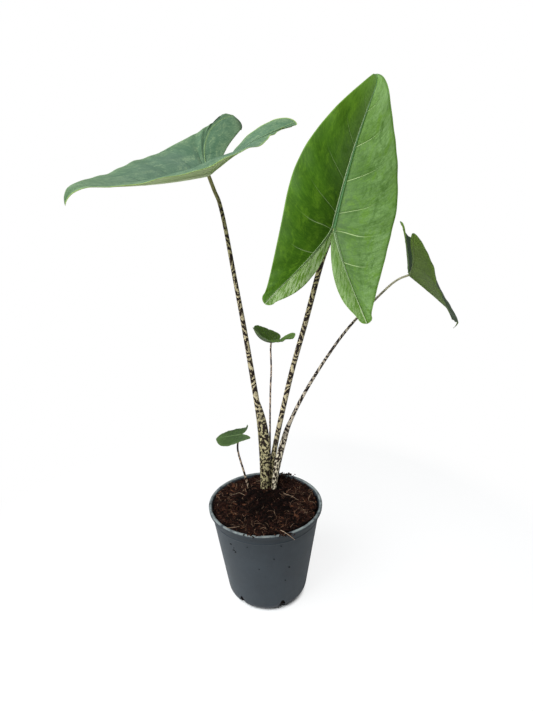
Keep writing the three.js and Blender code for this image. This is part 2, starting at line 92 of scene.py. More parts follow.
SPILLS = [(-9, -56), (18, -57), (24, 53)]  # where loose mix lies over the rim, the first two at the front
SPECKS = [(-130.8, 87.2), (-127.2, 83.8), (-128.0, 80.5), (-125.5, 79.2), (-110.5, 91.0), (-82.8, 76.5),
          (-64.5, 60.5), (-99.5, 63.2), (-75.5, 92.5), (-68.8, 44.0)]  # crumbs on the wall: angle and height
TWIGS = [  # the points that a bit of twig runs through, and its radius
    ([(14, -50, 108), (18, -56, 109.6), (22, -60, 109.0), (27, -61.5, 105.0)], 0.34),
    ([(-24, -40, 107.5), (-30, -44, 108.8), (-37, -44, 108.4), (-44, -40, 107.2)], 0.2),
    ([(20, 12, 109), (25, 7, 110.2), (30, 3, 110.0), (35, -1, 108.6)], 0.24),
    ([(-22, 10, 109.5), (-28, 14, 110.4), (-33, 12, 110.0), (-38, 13, 108.0)], 0.2),
]

# Lengths in mm and angles in degrees. Left and right are seen from the joint towards the tip. The folds,
# edge_flat and lobe_lift hold the left and the right side, and lobe_round the outer and the notch's side.
# The other pairs are shares along and across the blade, and shoulders the shares ahead and behind.
LEAVES = {
    "middle": {
        "tip": 150.3, "lobe": 84.1, "half_width": 50.8, "spread": 45.9, "widest": 17.4, "notch": 9.0,
        "tip_fill": (0.856, 0.176), "shoulders": (0.429, 0.495), "lobe_round": (6.2, 5.5), "lobe_neck": 5.5,
        "notch_bow": (0.722, 0.227), "droop": -26.1, "curl": 96.4, "curl_from": 0.8, "twist": -14.9,
        "tip_twist": -23.5, "lobe_curl": -1.5, "fold": (23.6, 34.6), "tip_fold": (27.3, 0.9),
        "lobe_fold": (11.7, 59.3), "edge_flat": (45.5, 19.1), "lobe_lift": (-0.6, 5.0),
        "notch_lift": 0.1, "joint": (66.7, -10, 390.7), "heading": 57.1, "rise": 60.7, "roll": 52.2,
    },
    "left": {
        "tip": 168.5, "lobe": 59.6, "half_width": 54.1, "spread": 73.7, "widest": -25.4, "notch": 7,
        "tip_fill": (0.81, 0.12), "shoulders": (0.42, 0.54), "lobe_round": (11.5, 15.6),
        "notch_bow": (0.663, 0.204), "droop": -9.9, "curl": 72.9, "curl_from": 0.82, "twist": -9.7,
        "tip_twist": -2.5, "lobe_curl": 6.5, "fold": (24.1, 53.5), "tip_fold": (-20.1, 28.7),
        "lobe_fold": (23.9, 100.9), "edge_flat": (47.1, 19.8), "lobe_lift": (39.6, -22),
        "notch_lift": 0.12, "joint": (-42.9, 15, 438.9), "heading": 239.6, "rise": -6, "roll": 21,
    },
    "right": {
        "tip": 144.2, "lobe": 54, "half_width": 40.6, "spread": 47, "widest": 23.2, "notch": 6,
        "tip_fill": (0.811, 0.088), "shoulders": (0.398, 0.484), "lobe_round": (10.7, 8.7),
        "notch_bow": (-0.049, 0.19), "droop": 6.8, "curl": 102.1, "curl_from": 0.85, "twist": 39.1,
        "tip_twist": 9.2, "lobe_curl": -10.8, "fold": (75.2, 34.5), "tip_fold": (-31.7, 13.7),
        "lobe_fold": (87.2, 73.4), "edge_flat": (55.5, 36.4), "lobe_lift": (29.9, -20.5),
        "notch_lift": 0.12, "joint": (168.3, 100, 327.8), "heading": 37.1, "rise": -31.5, "roll": 28.4,
    },
    "small_back": {
        "tip": 40.4, "lobe": 27.4, "half_width": 20, "spread": 14.5, "widest": 7.5, "notch": 3,
        "tip_fill": (0.797, 0.14), "shoulders": (0.455, 0.538), "lobe_round": (3.6, 5.2),
        "notch_bow": (0.533, 0.08), "droop": -46.3, "curl": 15, "curl_from": 0.85, "twist": -20.1,
        "tip_twist": -0.6, "lobe_curl": 0, "fold": (35.6, 43.3), "tip_fold": (3.6, 17.6),
        "lobe_fold": (4.6, 51.6), "edge_flat": (20.9, 10.2), "lobe_lift": (80.6, 0.6),
        "notch_lift": 0.1, "joint": (10.8, 45, 271), "heading": 232.6, "rise": 19, "roll": -7.4,
    },
    "small_left": {
        "tip": 30.9, "lobe": 14.4, "half_width": 14.7, "spread": 6, "widest": 8.5, "notch": 3,
        "tip_fill": (0.856, 0.367), "shoulders": (0.474, 0.538), "lobe_round": (3.9, 2.5),
        "notch_bow": (0.35, 0.08), "droop": 1.1, "curl": 33.4, "curl_from": 0.85, "twist": 1.8,
        "tip_twist": 0, "lobe_curl": 0, "fold": (9.1, 1.6), "tip_fold": (-1.3, 0.2),
        "lobe_fold": (15.7, 38.7), "edge_flat": (21.2, 28.1), "lobe_lift": (-28.9, 35.4),
        "notch_lift": 0.1, "joint": (-25.9, 25, 174.8), "heading": 156.1, "rise": -17.7, "roll": -19,
    },
}

# Each stalk's middle line from below the soil up to its joint, its radius at each point, and its sheath: how
# far that reaches out, the angle that it faces, and the heights that it runs from and to.
STALKS = {
    "middle": {
        "route": [(3.5, 30.5, 80), (4.5, 31, 100), (6.2, 31, 118), (10.5, 29.6, 148), (18.6, 26.4, 190),
                  (30.8, 19.9, 247), (44.2, 11.2, 301), (56.8, -0.7, 356.4), (64.3, -7.1, 380.7),
                  (66.7, -10, 390.7)],
        "radii": [2.6, 2.9, 3.0, 2.9, 2.75, 2.65, 2.6, 2.5, 2.3, 2.2],
        "sheath": {"reach": 1.6, "toward": 95, "from": 96, "to": 176},
    },
    "left": {
        "route": [(0.5, 27, 80), (-0.6, 27, 100), (-0.9, 26.8, 120), (-1.5, 26.3, 150), (-3.8, 25.4, 191),
                  (-9.6, 24, 241), (-16.5, 22, 296), (-23, 20.1, 342), (-29.5, 17.8, 389),
                  (-33.9, 16.6, 413), (-37.8, 16, 423.7), (-42.9, 15, 438.9)],
        "radii": [3.4, 4.2, 4.3, 3.8, 3.1, 2.8, 2.4, 2.15, 1.9, 1.8, 1.75, 1.7],
        "sheath": {"reach": 5.2, "toward": -14, "from": 100, "to": 212},
    },
    "right": {
        "route": [(6.5, 25, 80), (9, 23.4, 98), (10.4, 23.2, 112), (15, 26.4, 135), (22, 31.2, 160),
                  (30.2, 36.9, 184.3), (49.6, 47.2, 218), (77.5, 61.2, 256), (101.6, 72.7, 282.4),
                  (134.7, 87.2, 310.6), (152.5, 94.6, 322.9), (168.3, 100, 327.8)],
        "radii": [2.2, 2.5, 2.6, 2.6, 2.3, 2.1, 1.8, 1.55, 1.45, 1.3, 1.2, 1.2],
        "sheath": {"reach": 2.6, "toward": 200, "from": 100, "to": 184},
    },
    "small_back": {
        "route": [(4, 34, 84), (5.4, 37.4, 104), (6.8, 39.8, 153), (7.8, 41.4, 191), (8.9, 42.6, 219),
                  (10.2, 43.7, 241), (10.1, 44.6, 261.4), (10.8, 45, 271)],
        "radii": [1, 1, 1, 0.95, 0.95, 0.9, 0.9, 0.9],
        "sheath": None,
    },
    "small_left": {
        "route": [(-8.5, 28, 81), (-13.5, 27, 96), (-18.6, 26, 111), (-20.8, 25.9, 121),
                  (-24.7, 25.6, 138.3), (-27.6, 25.4, 151.7), (-28.2, 25.2, 161.2), (-25.9, 25, 174.8)],
        "radii": [1.3, 1.3, 1.2, 1.15, 1.1, 1.05, 1, 0.9],
        "sheath": None,
    },
}

# ---------------------------------------------------------------- settings that a user would change


class PotSettings(bpy.types.PropertyGroup):
    """Sizes and colours of the nursery pot."""
    height: bpy.props.FloatProperty(
        name="Height", description="From the foot to the rim", default=0.108, unit="LENGTH")
    rim_radius: bpy.props.FloatProperty(
        name="Rim radius", description="To the outside of the lip", default=0.060, unit="LENGTH")
    wall: bpy.props.FloatProperty(
        name="Wall", description="Thickness of the moulded wall", default=0.0014, unit="LENGTH")
    plastic: bpy.props.FloatVectorProperty(
        name="Plastic", description="Moulded grey of the wall", subtype="COLOR", size=4,
        default=(0.032, 0.040, 0.048, 1.0))
    # The rim's top: dust and a painted highlight, in paler grey.
    rim_highlight_and_dust: bpy.props.FloatVectorProperty(
        name="Rim highlight and dust", description="Paler grey where the rim is rubbed and dusty", subtype="COLOR",
        size=4, default=(0.20, 0.225, 0.22, 1.0))


class BladeSettings(bpy.types.PropertyGroup):
    """Sizes and finish of the leaf blades."""
    thickness: bpy.props.FloatProperty(
        name="Thickness", description="Of the blade away from its ribs", default=0.00055, unit="LENGTH")
    rib_depth: bpy.props.FloatProperty(
        name="Rib depth", description="How far the midrib stands out below at the stalk", default=0.0022,
        unit="LENGTH")
    quilt: bpy.props.FloatProperty(
        name="Quilting", description="How far the blade bulges between its side veins", default=0.0006,
        unit="LENGTH")
    margin_wave: bpy.props.FloatProperty(
        name="Margin wave", description="How far the margin waves up and down", default=0.0007,
        unit="LENGTH")


class StalkSettings(bpy.types.PropertyGroup):
    """Colours and banding of the leaf stalks."""
    band_spacing: bpy.props.FloatProperty(
        name="Band spacing", description="From one dark band to the next", default=0.0078, unit="LENGTH")
    cream: bpy.props.FloatVectorProperty(
        name="Cream", description="Ground colour of the stalk", subtype="COLOR", size=4,
        default=(0.55, 0.47, 0.29, 1.0))
    dark: bpy.props.FloatVectorProperty(
        name="Dark", description="Colour of the bands", subtype="COLOR", size=4,
        default=(0.016, 0.010, 0.006, 1.0))


class SoilSettings(bpy.types.PropertyGroup):
    """What the potting mix is made of."""
    chips: bpy.props.IntProperty(name="Bark chips", description="Loose chips on top", default=3400)
    fibres: bpy.props.IntProperty(name="Coir fibres", description="Loose fibres on top", default=1300)


class StageSettings(bpy.types.PropertyGroup):
    """The camera's lens, place and turn."""
    lens: bpy.props.FloatProperty(
        name="Lens", description="Focal length in mm on a 36 mm long side", default=27.04)
    camera_place: bpy.props.FloatVectorProperty(
        name="Camera place", description="Where the camera stands", default=(0.0, -0.490, 0.433),
        subtype="TRANSLATION", unit="LENGTH")
    camera_turn: bpy.props.FloatVectorProperty(
        name="Camera turn", description="Turn to the right, tilt down and lean", subtype="EULER",
        default=(math.radians(0.6), math.radians(18.3), math.radians(-1.5)))


# ---------------------------------------------------------------- curves and arrays

def ring_angles(count):
    """The angles of count points spread evenly round a ring."""
    return np.arange(count) * 2 * math.pi / count


def in_disc(rng, count, radius):
    """Random x and y spread evenly over a disc: away = radius sqrt(uniform), at a uniform turn."""
    away = np.sqrt(rng.uniform(0, 1, count)) * radius
    turn = rng.uniform(0, 2 * math.pi, count)
    return away * np.cos(turn), away * np.sin(turn)


def smoothstep(x, low, high):
    """3t^2 - 2t^3, with t the share of the way from low to high, held within 0 and 1."""
    t = np.clip((x - low) / (high - low), 0.0, 1.0)
    return t * t * (3.0 - 2.0 * t)


def lerp(a, b, t):
    """a + (b - a) t."""
    return a + (b - a) * t


def bezier(p0, p1, p2, p3, t):
    """(1-t)^3 p0 + 3(1-t)^2 t p1 + 3(1-t) t^2 p2 + t^3 p3."""
    s = 1.0 - t
    weights = np.stack([s ** 3, 3 * s * s * t, 3 * s * t * t, t ** 3], axis=-1)
    return weights @ np.array([p0, p1, p2, p3], dtype=float)


def follow_angle(angle_at, length, pieces=240):
    """A curve whose angle a(s) is known: along = integral of cos a, across = integral of sin a."""
    s = np.linspace(0.0, length, pieces + 1)
    angle = angle_at(s)
    step = length / pieces

    def total(values):
        return np.concatenate([[0.0], np.cumsum((values[1:] + values[:-1]) * step / 2)])
    along = total(np.cos(angle))
    across = total(np.sin(angle))
    return lambda at: (np.interp(at, s, along), np.interp(at, s, across), angle_at(np.maximum(at, 0.0)))


def catmull_rom(points, t):
    """Uniform Catmull-Rom through the points, t from 0 to 1: the places and the unit tangents."""
    p = np.array(points, dtype=float)
    p = np.vstack([2 * p[0] - p[1], p, 2 * p[-1] - p[-2]])
    place = np.clip(t * (len(points) - 1), 0.0, len(points) - 1 - 1e-9)
    i = place.astype(int)
    w = (place - i)[:, None]
    c0 = 2 * p[i + 1]
    c1 = p[i + 2] - p[i]
    c2 = 2 * p[i] - 5 * p[i + 1] + 4 * p[i + 2] - p[i + 3]
    c3 = 3 * p[i + 1] - 3 * p[i + 2] + p[i + 3] - p[i]
    spot = 0.5 * (c0 + c1 * w + c2 * w ** 2 + c3 * w ** 3)
    slope = c1 + 2 * c2 * w + 3 * c3 * w ** 2
    return spot, slope / np.linalg.norm(slope, axis=1, keepdims=True)


def bell(x):
    """e^(-x^2)."""
    return np.exp(-x ** 2)


def unit(vectors):
    """Each vector over its length."""
    return vectors / np.maximum(np.linalg.norm(vectors, axis=-1, keepdims=True), 1e-12)


def grid_quads(rows, columns, start=0, wrap=False):
    """Quads over a grid of rows x columns points, the columns closing on themselves if wrap is set."""
    index = np.arange(rows * columns).reshape(rows, columns) + start
    if wrap:
        index = np.hstack([index, index[:, :1]])
    return index_quads(index)


def index_quads(index):
    """Quads between each two rows and columns of an array of point numbers."""
    corners = [index[:-1, :-1], index[1:, :-1], index[1:, 1:], index[:-1, 1:]]
    return np.stack(corners, axis=-1).reshape(-1, 4)


def tube_faces(rows, sides):
    """The quads round a tube of rows rings, and its two flat ends."""
    last = rows * sides - 1
    ends = [list(range(sides)), list(range(last, last - sides, -1))]
    return grid_quads(rows, sides, wrap=True).tolist() + ends


def waviness(points, rng, count, shortest, longest):
    """A smooth random relief: the sum of count sine waves over sqrt(count).

    Each wave has a random heading, length and phase.
    """
    heading = unit(rng.normal(size=(count, points.shape[-1])))
    length = np.exp(rng.uniform(math.log(shortest), math.log(longest), count))
    phase = rng.uniform(0, 2 * math.pi, count)
    waves = heading * (2 * math.pi / length)[:, None]
    return np.sin(points @ waves.T + phase).sum(-1) / math.sqrt(count)


# ---------------------------------------------------------------- objects

def add_object(name, data):
    """A new object of the scene."""
    made = bpy.data.objects.new(name, data)
    bpy.context.scene.collection.objects.link(made)
    return made


def stand(thing, axes, place):
    """Stands an object at the place, its own x, y and z axes along the three given."""
    matrix = np.eye(4)
    matrix[:3, :3] = np.stack(axes, axis=-1)
    matrix[:3, 3] = place
    thing.matrix_world = Matrix(matrix.tolist())


def face_outwards(mesh, weld=0.0):
    """Merges points nearer than weld, and turns the faces outwards."""
    shell = bmesh.new()
    shell.from_mesh(mesh)
    if weld:
        bmesh.ops.remove_doubles(shell, verts=shell.verts, dist=weld)
    bmesh.ops.recalc_face_normals(shell, faces=shell.faces)
    shell.to_mesh(mesh)
    shell.free()


def make_piece(name, points, faces, material, attributes=None, replaces=(), weld=1e-6, sharp=None):
    """A new object from arrays in mm, riding on the fixed body. A weld also turns the faces outwards."""
    mesh = bpy.data.meshes.new(name)
    mesh.from_pydata((np.asarray(points) * MM).tolist(), [], list(map(list, faces)))
    for key, values in (attributes or {}).items():
        values = np.asarray(values, dtype=np.float32)
        kind, field = ("FLOAT_VECTOR", "vector") if values.ndim == 2 else ("FLOAT", "value")
        mesh.attributes.new(key, kind, "POINT").data.foreach_set(field, values.ravel())
    if weld:
        face_outwards(mesh, weld)
    mesh.validate()
    piece = add_object(name, mesh)
    finish_piece(piece, material, replaces, sharp)
    return piece


def finish_piece(piece, material, replaces=(), sharp=None):
    """Gives a piece its material, smooth shading, body and the nodes it stands for."""
    piece.data.materials.clear()
    piece.data.materials.append(material)
    piece.data.shade_smooth()
    if sharp is not None:
        piece.data.set_sharp_from_angle(angle=math.radians(sharp))
    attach(piece, "root")
    if replaces:
        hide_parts(*replaces)


# ---------------------------------------------------------------- shader maths

class Signal:
    """A node's output. Arithmetic on it adds Math nodes."""

    def __init__(self, shader, socket):
        self.shader = shader
        self.socket = socket

    def maths(self, operation, *others, **settings):
        """A Math node of this output and the others."""
        values = dict(zip(("Value", "Value_001", "Value_002"), (self, *others)))
        return self.shader.node("ShaderNodeMath", {"operation": operation, **settings}, values)

    def __add__(self, other):
        return self.maths("ADD", other)

    __radd__ = __add__

    def __sub__(self, other):
        return self.maths("SUBTRACT", other)

    def __rsub__(self, other):
        return (self * -1.0) + other

    def __mul__(self, other):
        return self.maths("MULTIPLY", other)

    def __truediv__(self, other):
        return self.maths("DIVIDE", other)

    def __pow__(self, other):
        return self.maths("POWER", other)

    def __abs__(self):
        return self.maths("ABSOLUTE")

    def sine(self):
        return self.maths("SINE")

    def clamp(self):
        return self.maths("ADD", 0.0, use_clamp=True)

    def rise(self, low, high):
        """0 below low and 1 above high, smooth between; falls if high is less than low."""
        values = {"Value": self, "From Min": low, "From Max": high}
        if high < low:
            values.update({"From Min": high, "From Max": low, "To Min": 1.0, "To Max": 0.0})
        return self.shader.node("ShaderNodeMapRange", {"interpolation_type": "SMOOTHSTEP"}, values)


def rgba(colour):
    """A colour of three or four parts as four."""
    return (*colour, 1.0)[:4]


def tinted(colour, times, plus=0.0):
    """A colour whose red, green and blue are each multiplied by times, plus a little."""
    return [part * times + plus for part in colour[:3]]


class Shader:
    """The nodes of a new material, or of a new world."""

    def __init__(self, name, world=False, **constants):
        self.owner = (bpy.data.worlds if world else bpy.data.materials).new(name)
        self.owner.use_nodes = True
        self.tree = self.owner.node_tree
        self.surface = self.tree.nodes["Background" if world else "Principled BSDF"]
        for socket, value in constants.items():
            self.surface.inputs[socket.replace("_", " ").title().replace("Ior", "IOR")].default_value = value

    def node(self, kind, settings=None, values=None, out=None):
        """Adds a node with its settings and its sockets' values or links. Gives its output."""
        made = self.tree.nodes.new(kind)
        for key, value in (settings or {}).items():
            setattr(made, key, value)
        for key, value in (values or {}).items():
            socket = next(s for s in made.inputs if key in (s.identifier, s.name))
            if isinstance(value, Signal):
                self.tree.links.new(value.socket, socket)
            else:
                socket.default_value = rgba(value) if socket.type == "RGBA" else value
        return Signal(self, next(s for s in made.outputs if out in (None, s.identifier, s.name)))

    def attribute(self, name):
        """The piece's own attribute as three signals."""
        return self.split(self.node("ShaderNodeAttribute", {"attribute_name": name}, out="Vector"))

    def split(self, vector):
        """A vector's three parts."""
        first = self.node("ShaderNodeSeparateXYZ", {}, {"Vector": vector})
        outputs = first.socket.node.outputs
        return [Signal(self, outputs[i]) for i in range(3)]

    def join(self, x, y, z):
        """A vector from three parts."""
        return self.node("ShaderNodeCombineXYZ", {}, {"X": x, "Y": y, "Z": z})

    def place(self):
        """Object coordinates in mm."""
        point = self.node("ShaderNodeTexCoord", out="Object")
        return self.node("ShaderNodeVectorMath", {"operation": "SCALE"}, {"Vector": point, "Scale": 1 / MM})

    def noise(self, vector, size, detail=2.0, roughness=0.5, distortion=0.0):
        """Noise whose patches are about size across, from 0 to 1."""
        return self.node("ShaderNodeTexNoise", {}, {
            "Vector": vector, "Scale": 1.0 / size, "Detail": detail, "Roughness": roughness,
            "Distortion": distortion})

    def cells(self, vector, size, feature="DISTANCE_TO_EDGE", out="Distance"):
        """Cells about size across."""
        values = {"Vector": vector, "Scale": 1.0 / size}
        return self.node("ShaderNodeTexVoronoi", {"feature": feature}, values, out=out)

    def mix(self, factor, a, b):
        """Colour a where factor is 0 and colour b where it is 1."""
        return self.node("ShaderNodeMix", {"data_type": "RGBA"},
                         {"Factor_Float": factor, "A_Color": a, "B_Color": b}, out="Result_Color")

    def ramp(self, factor, stops):
        """The colour at factor, between stops that each hold a place and a colour."""
        colour = self.node("ShaderNodeValToRGB", {}, {"Fac": factor}, out="Color")
        elements = colour.socket.node.color_ramp.elements
        while len(elements) < len(stops):
            elements.new(0.5)
        for element, (place, tone) in zip(elements, stops):
            element.position = place
            element.color = rgba(tone)
        return colour

    def bump(self, height, depth):
        """Relief of height 0 to 1 that stands depth in mm."""
        return self.node("ShaderNodeBump", {}, {"Height": height, "Distance": depth * MM, "Strength": 1.0})

    def finish(self, colour, roughness, normal):
        """Links what changes over the surface, and gives the material."""
        for key, value in (("Base Color", colour), ("Roughness", roughness), ("Normal", normal)):
            self.tree.links.new(value.socket, self.surface.inputs[key])
        return self.owner


# ---------------------------------------------------------------- leaf blades

CAP_START = 0.82  # share of a necked lobe's margin before its round end
VEIN_RATE = 9.4  # side veins from the tip to the end of the lobe, evenly spaced along the ribs
VEIN_START = -1.35  # the side veins' phase at the tip
VEIN_SWEEP = 0.55  # how far a vein bends towards the tip before the margin, in vein spacings
FULL_HALF = 55  # half width in mm of the leaf that the reliefs are given for
NUDGE = 0.05  # step in mm between the points that give the blade's normal
CLEAR = 0.02  # how far in mm the blades stay inside the solids' box


def outer_half(leaf, u):
    """The rib and the outer margin of half a flat blade at u: tip 0, joint 0.5, end of the lobe 1.

    The margin is two Beziers that meet where the blade is widest. The rib is straight to the joint and then
    bows into the lobe.
    """
    tip, lobe, width, widest = leaf["tip"], leaf["lobe"], leaf["half_width"], leaf["widest"]
    ahead, behind = leaf["shoulders"]
    along, across = leaf["tip_fill"]
    t = np.clip(2 * u, 0, 1)
    s = np.clip(2 * u - 1, 0, 1)
    corner = (widest, width)
    front = bezier((tip, 0), (tip * along, width * across), (widest + tip * ahead, width), corner, t)
    back = lobe_margin(leaf, corner, (widest - lobe * behind, width), leaf["lobe_round"][0], s)
    margin = np.where((u < 0.5)[:, None], front, back)
    midrib = np.stack([tip * (1 - t), 0 * u], axis=-1)
    rib = np.where((u < 0.5)[:, None], midrib, lobe_rib(leaf, s))
    return rib, margin


def lobe_margin(leaf, start, control, out, t):
    """A margin to the end of the lobe, out to the outer side of its rib, or to the notch's side if negative.

    It is a Bezier that meets the end square to the rib. In a lobe with a neck the Bezier comes in along the
    neck, and a quarter of an ellipse closes the end.
    """
    lobe, spread = leaf["lobe"], leaf["spread"]
    end = np.array([-lobe, spread])
    along = end / math.hypot(lobe, spread)
    side = np.array([along[1], -along[0]]) * out
    if "lobe_neck" not in leaf:
        return bezier(start, control, end + side, end, t)
    cap = sum(leaf["lobe_round"]) / 2
    corner = end - along * cap + side
    neck = corner - along * leaf["lobe_neck"]
    straight = bezier(start, control, neck, corner, np.clip(t / CAP_START, 0, 1))
    turn = (np.clip((t - CAP_START) / (1 - CAP_START), 0, 1) * math.pi / 2)[:, None]
    closing = end - along * cap * (1 - np.sin(turn)) + side * np.cos(turn)
    return np.where((t < CAP_START)[:, None], straight, closing)


def lobe_rib(leaf, t):
    """The rib of a lobe: a Bezier from the joint to the end of the lobe."""
    lobe, spread = leaf["lobe"], leaf["spread"]
    return bezier((0, 0), (-lobe * 0.33, spread * 0.25), (-lobe * 0.68, spread * 0.705), (-lobe, spread), t)


def notch_half(leaf, t):
    """The lobe's rib and the margin of the notch, from the joint to the end of the lobe."""
    notch = leaf["notch"]
    back, out = leaf["notch_bow"]
    control = (-notch - leaf["lobe"] * back, leaf["half_width"] * out)
    margin = lobe_margin(leaf, (-notch, 0), control, -leaf["lobe_round"][1], t)
    return lobe_rib(leaf, t), margin


def bend_blade(leaf):
    """How a flat blade is bent, as a function of x to the tip, y off the midline and the side, +1 or -1.

    The midrib's angle is droop (x/tip)^1.5 + curl max(x/tip - curl_from, 0)^1.6, scaled to the tip. A lobe's
    angle is lift (s/lobe)^1.3 less a curl over its last third. Across, the slope starts at the fold and
    flattens evenly to the margin, so reach = (sin f - sin(f - k y)) / k and height =
    (cos(f - k y) - cos f) / k, turned by twist x/tip and, past the middle, tip_twist (2 x/tip - 1)^2.
    """
    tip, lobe = leaf["tip"], leaf["lobe"]
    droop, curl = math.radians(leaf["droop"]), math.radians(leaf["curl"])
    start = leaf["curl_from"]

    def midrib_angle(s):
        part = s / tip
        return droop * part ** 1.5 + curl * np.maximum((part - start) / (1 - start), 0) ** 1.6

    def lobe_run(lift):
        def lobe_angle(s):
            late = np.maximum((s / lobe - 0.7) / 0.3, 0)
            return math.radians(lift) * (s / lobe) ** 1.3 - math.radians(leaf["lobe_curl"]) * late ** 1.6
        return follow_angle(lobe_angle, lobe * 1.3)
    front = follow_angle(midrib_angle, tip * 1.02)
    lifts = leaf["lobe_lift"]
    centre = lobe_run(sum(lifts) / 2)
    own = {1: lobe_run(lifts[0]), -1: lobe_run(lifts[1])}
    knee = math.sqrt(1.09) - 0.3

    def bent(x, y, sign):
        ahead, behind = np.maximum(x, 0), np.maximum(-x, 0)
        along, down, angle = front(ahead)
        mid_back, mid_up, mid_angle = centre(behind)
        own_back, own_up, own_angle = own[sign](behind)
        share = smoothstep(y, 0, leaf["spread"] * 0.25)
        spot_x = np.where(x >= 0, along, -lerp(mid_back, own_back, share))
        spot_z = np.where(x >= 0, -down, lerp(mid_up, own_up, share))
        lean = np.where(x >= 0, angle, lerp(mid_angle, own_angle, share))
        side = 0 if sign > 0 else 1
        base, last, tip_fold = (math.radians(leaf[key][side]) for key in ("fold", "lobe_fold", "tip_fold"))
        k = math.radians(leaf["edge_flat"][side]) / leaf["half_width"]
        w = np.clip(behind / lobe, 0, 1)
        part = np.clip(ahead / tip, 0, 1)
        fold = np.where(x >= 0, lerp(base, tip_fold, part ** 1.2),
                        lerp(base, last, (np.sqrt(w * w + 0.09) - 0.3) / knee))
        reach = (np.sin(fold) - np.sin(fold - k * y)) / k
        height = (np.cos(fold - k * y) - np.cos(fold)) / k
        late = np.maximum(part * 2 - 1, 0)
        turn = math.radians(leaf["twist"]) * x / tip + math.radians(leaf["tip_twist"]) * late ** 2
        across = sign * reach * np.cos(turn) - height * np.sin(turn)
        up = sign * reach * np.sin(turn) + height * np.cos(turn)
        return np.stack([spot_x + np.sin(lean) * up, across, spot_z + np.cos(lean) * up], axis=-1)
    return bent


def rolled(side, up, angle):
    """Two axes turned about the third: cos a side + sin a up, and -sin a side + cos a up."""
    c, s = math.cos(angle), math.sin(angle)
    return c * side + s * up, -s * side + c * up


def joint_frame(leaf):
    """The joint's axes as columns: towards the tip, to the left, and out of the upper side."""
    heading, rise, roll = (math.radians(leaf[key]) for key in ("heading", "rise", "roll"))
    level = np.array([math.cos(heading), math.sin(heading), 0.0])
    ahead = level * math.cos(rise) + np.array([0.0, 0.0, math.sin(rise)])
    left = np.array([-level[1], level[0], 0.0])
    return np.stack([ahead, *rolled(left, np.cross(ahead, left), roll)], axis=-1)


def blade_patch(leaf, form, u, v, notch, sign, settings):
    """One side's patch between a rib, v 0, and a margin, v 1: its points and what its material reads.

    Upper face = bent blade + normal * relief, lower face = the same less the thickness and the rib's depth.
    The relief is quilting, (1 - cos 2 pi phase) / 2 between the side veins, a soft ridge on the rib, and
    waves along the margin. The quilting and the waves are weaker beside the notch.
    """
    bend, axes = form
    rib, margin = notch_half(leaf, u) if notch else outer_half(leaf, u)
    spot = lerp(rib[:, None, :], margin[:, None, :], v[None, :, None])
    x, y = spot[..., 0], spot[..., 1]
    u = np.broadcast_to((0.5 + u / 2 if notch else u)[:, None], x.shape)
    v = np.broadcast_to(v[None, :], x.shape)
    width = np.broadcast_to(np.linalg.norm(margin - rib, axis=-1)[:, None], x.shape)
    size = leaf["half_width"] / FULL_HALF

    def normal_at(x, y, sign):
        along = bend(x + NUDGE, y, sign) - bend(x - NUDGE, y, sign)
        across = (bend(x, y + NUDGE, sign) - bend(x, y, sign)) * sign
        return unit(np.cross(along, across))
    normal = normal_at(x, y, sign)
    on_midline = (y < 1e-9)[..., None]
    normal = np.where(on_midline, unit(normal + normal_at(x, 0 * y, -sign)), normal)

    by_joint = 0.55 * bell((u - 0.53) / 0.05) * (1 - v) ** 2
    phase = VEIN_RATE * u + VEIN_START + by_joint + VEIN_SWEEP * v ** 3 * (0.3 if notch else 1.0)
    ends = np.clip(np.minimum(u, 1 - u) * 4, 0, 1.6)
    bulge = v * (1.25 - v) * 2 * (1 - np.cos(2 * math.pi * phase)) / 2 * ends
    bulge = bulge * settings.quilt / MM * size * (0.35 if notch else 1.0)
    bulge = bulge * (1 - 0.6 * smoothstep(u, 0.55, 0.75))
    wave = np.sin(2 * math.pi * (6.3 * u + 0.23 * sign + 0.11 * leaf["tip"])) \
        + 0.6 * np.sin(2 * math.pi * (14.7 * u - 0.31 * sign + 0.07 * leaf["lobe"]))
    wave = wave * v ** 3 * settings.margin_wave / MM * size * np.clip(ends, 0, 1) * (0.4 if notch else 1)
    lift = leaf["notch_lift"] * v * width if notch else 0

    from_rib = v * width
    strength = np.where(u < 0.5, smoothstep(u, 0, 0.5), 1 - 0.75 * (2 * u - 1))
    ridge = strength * bell(from_rib / (1.5 * size)) * 0.55 * size
    rib_below = settings.rib_depth / MM * size * strength * bell(from_rib / (2.8 * size))
    veins_below = 0.28 * size * bell(np.abs(phase - np.round(phase)) * 14) * (1 - v) * (v > 0)
    thickness = settings.thickness / MM * (1 - 0.35 * v ** 4)
    middle = bend(x, y, sign) + normal * (bulge + wave + lift)[..., None]
    top = middle + normal * ridge[..., None]
    bottom = middle - normal * (thickness + rib_below + veins_below)[..., None]
    outwards = unit(top[:, -1] - top[:, -2])
    edge = (top[:, -1] + bottom[:, -1]) / 2 + outwards * thickness[:, -1:] * 0.4
    place = [p @ axes.T + np.array(leaf["joint"]) for p in (top, bottom, edge)]
    veins = np.stack([phase, v, sign * (1.0 if notch else 0.3) * (v > 0)], axis=-1)
    blade = np.stack([u, 0 * u, width], axis=-1)
    return place, veins, blade


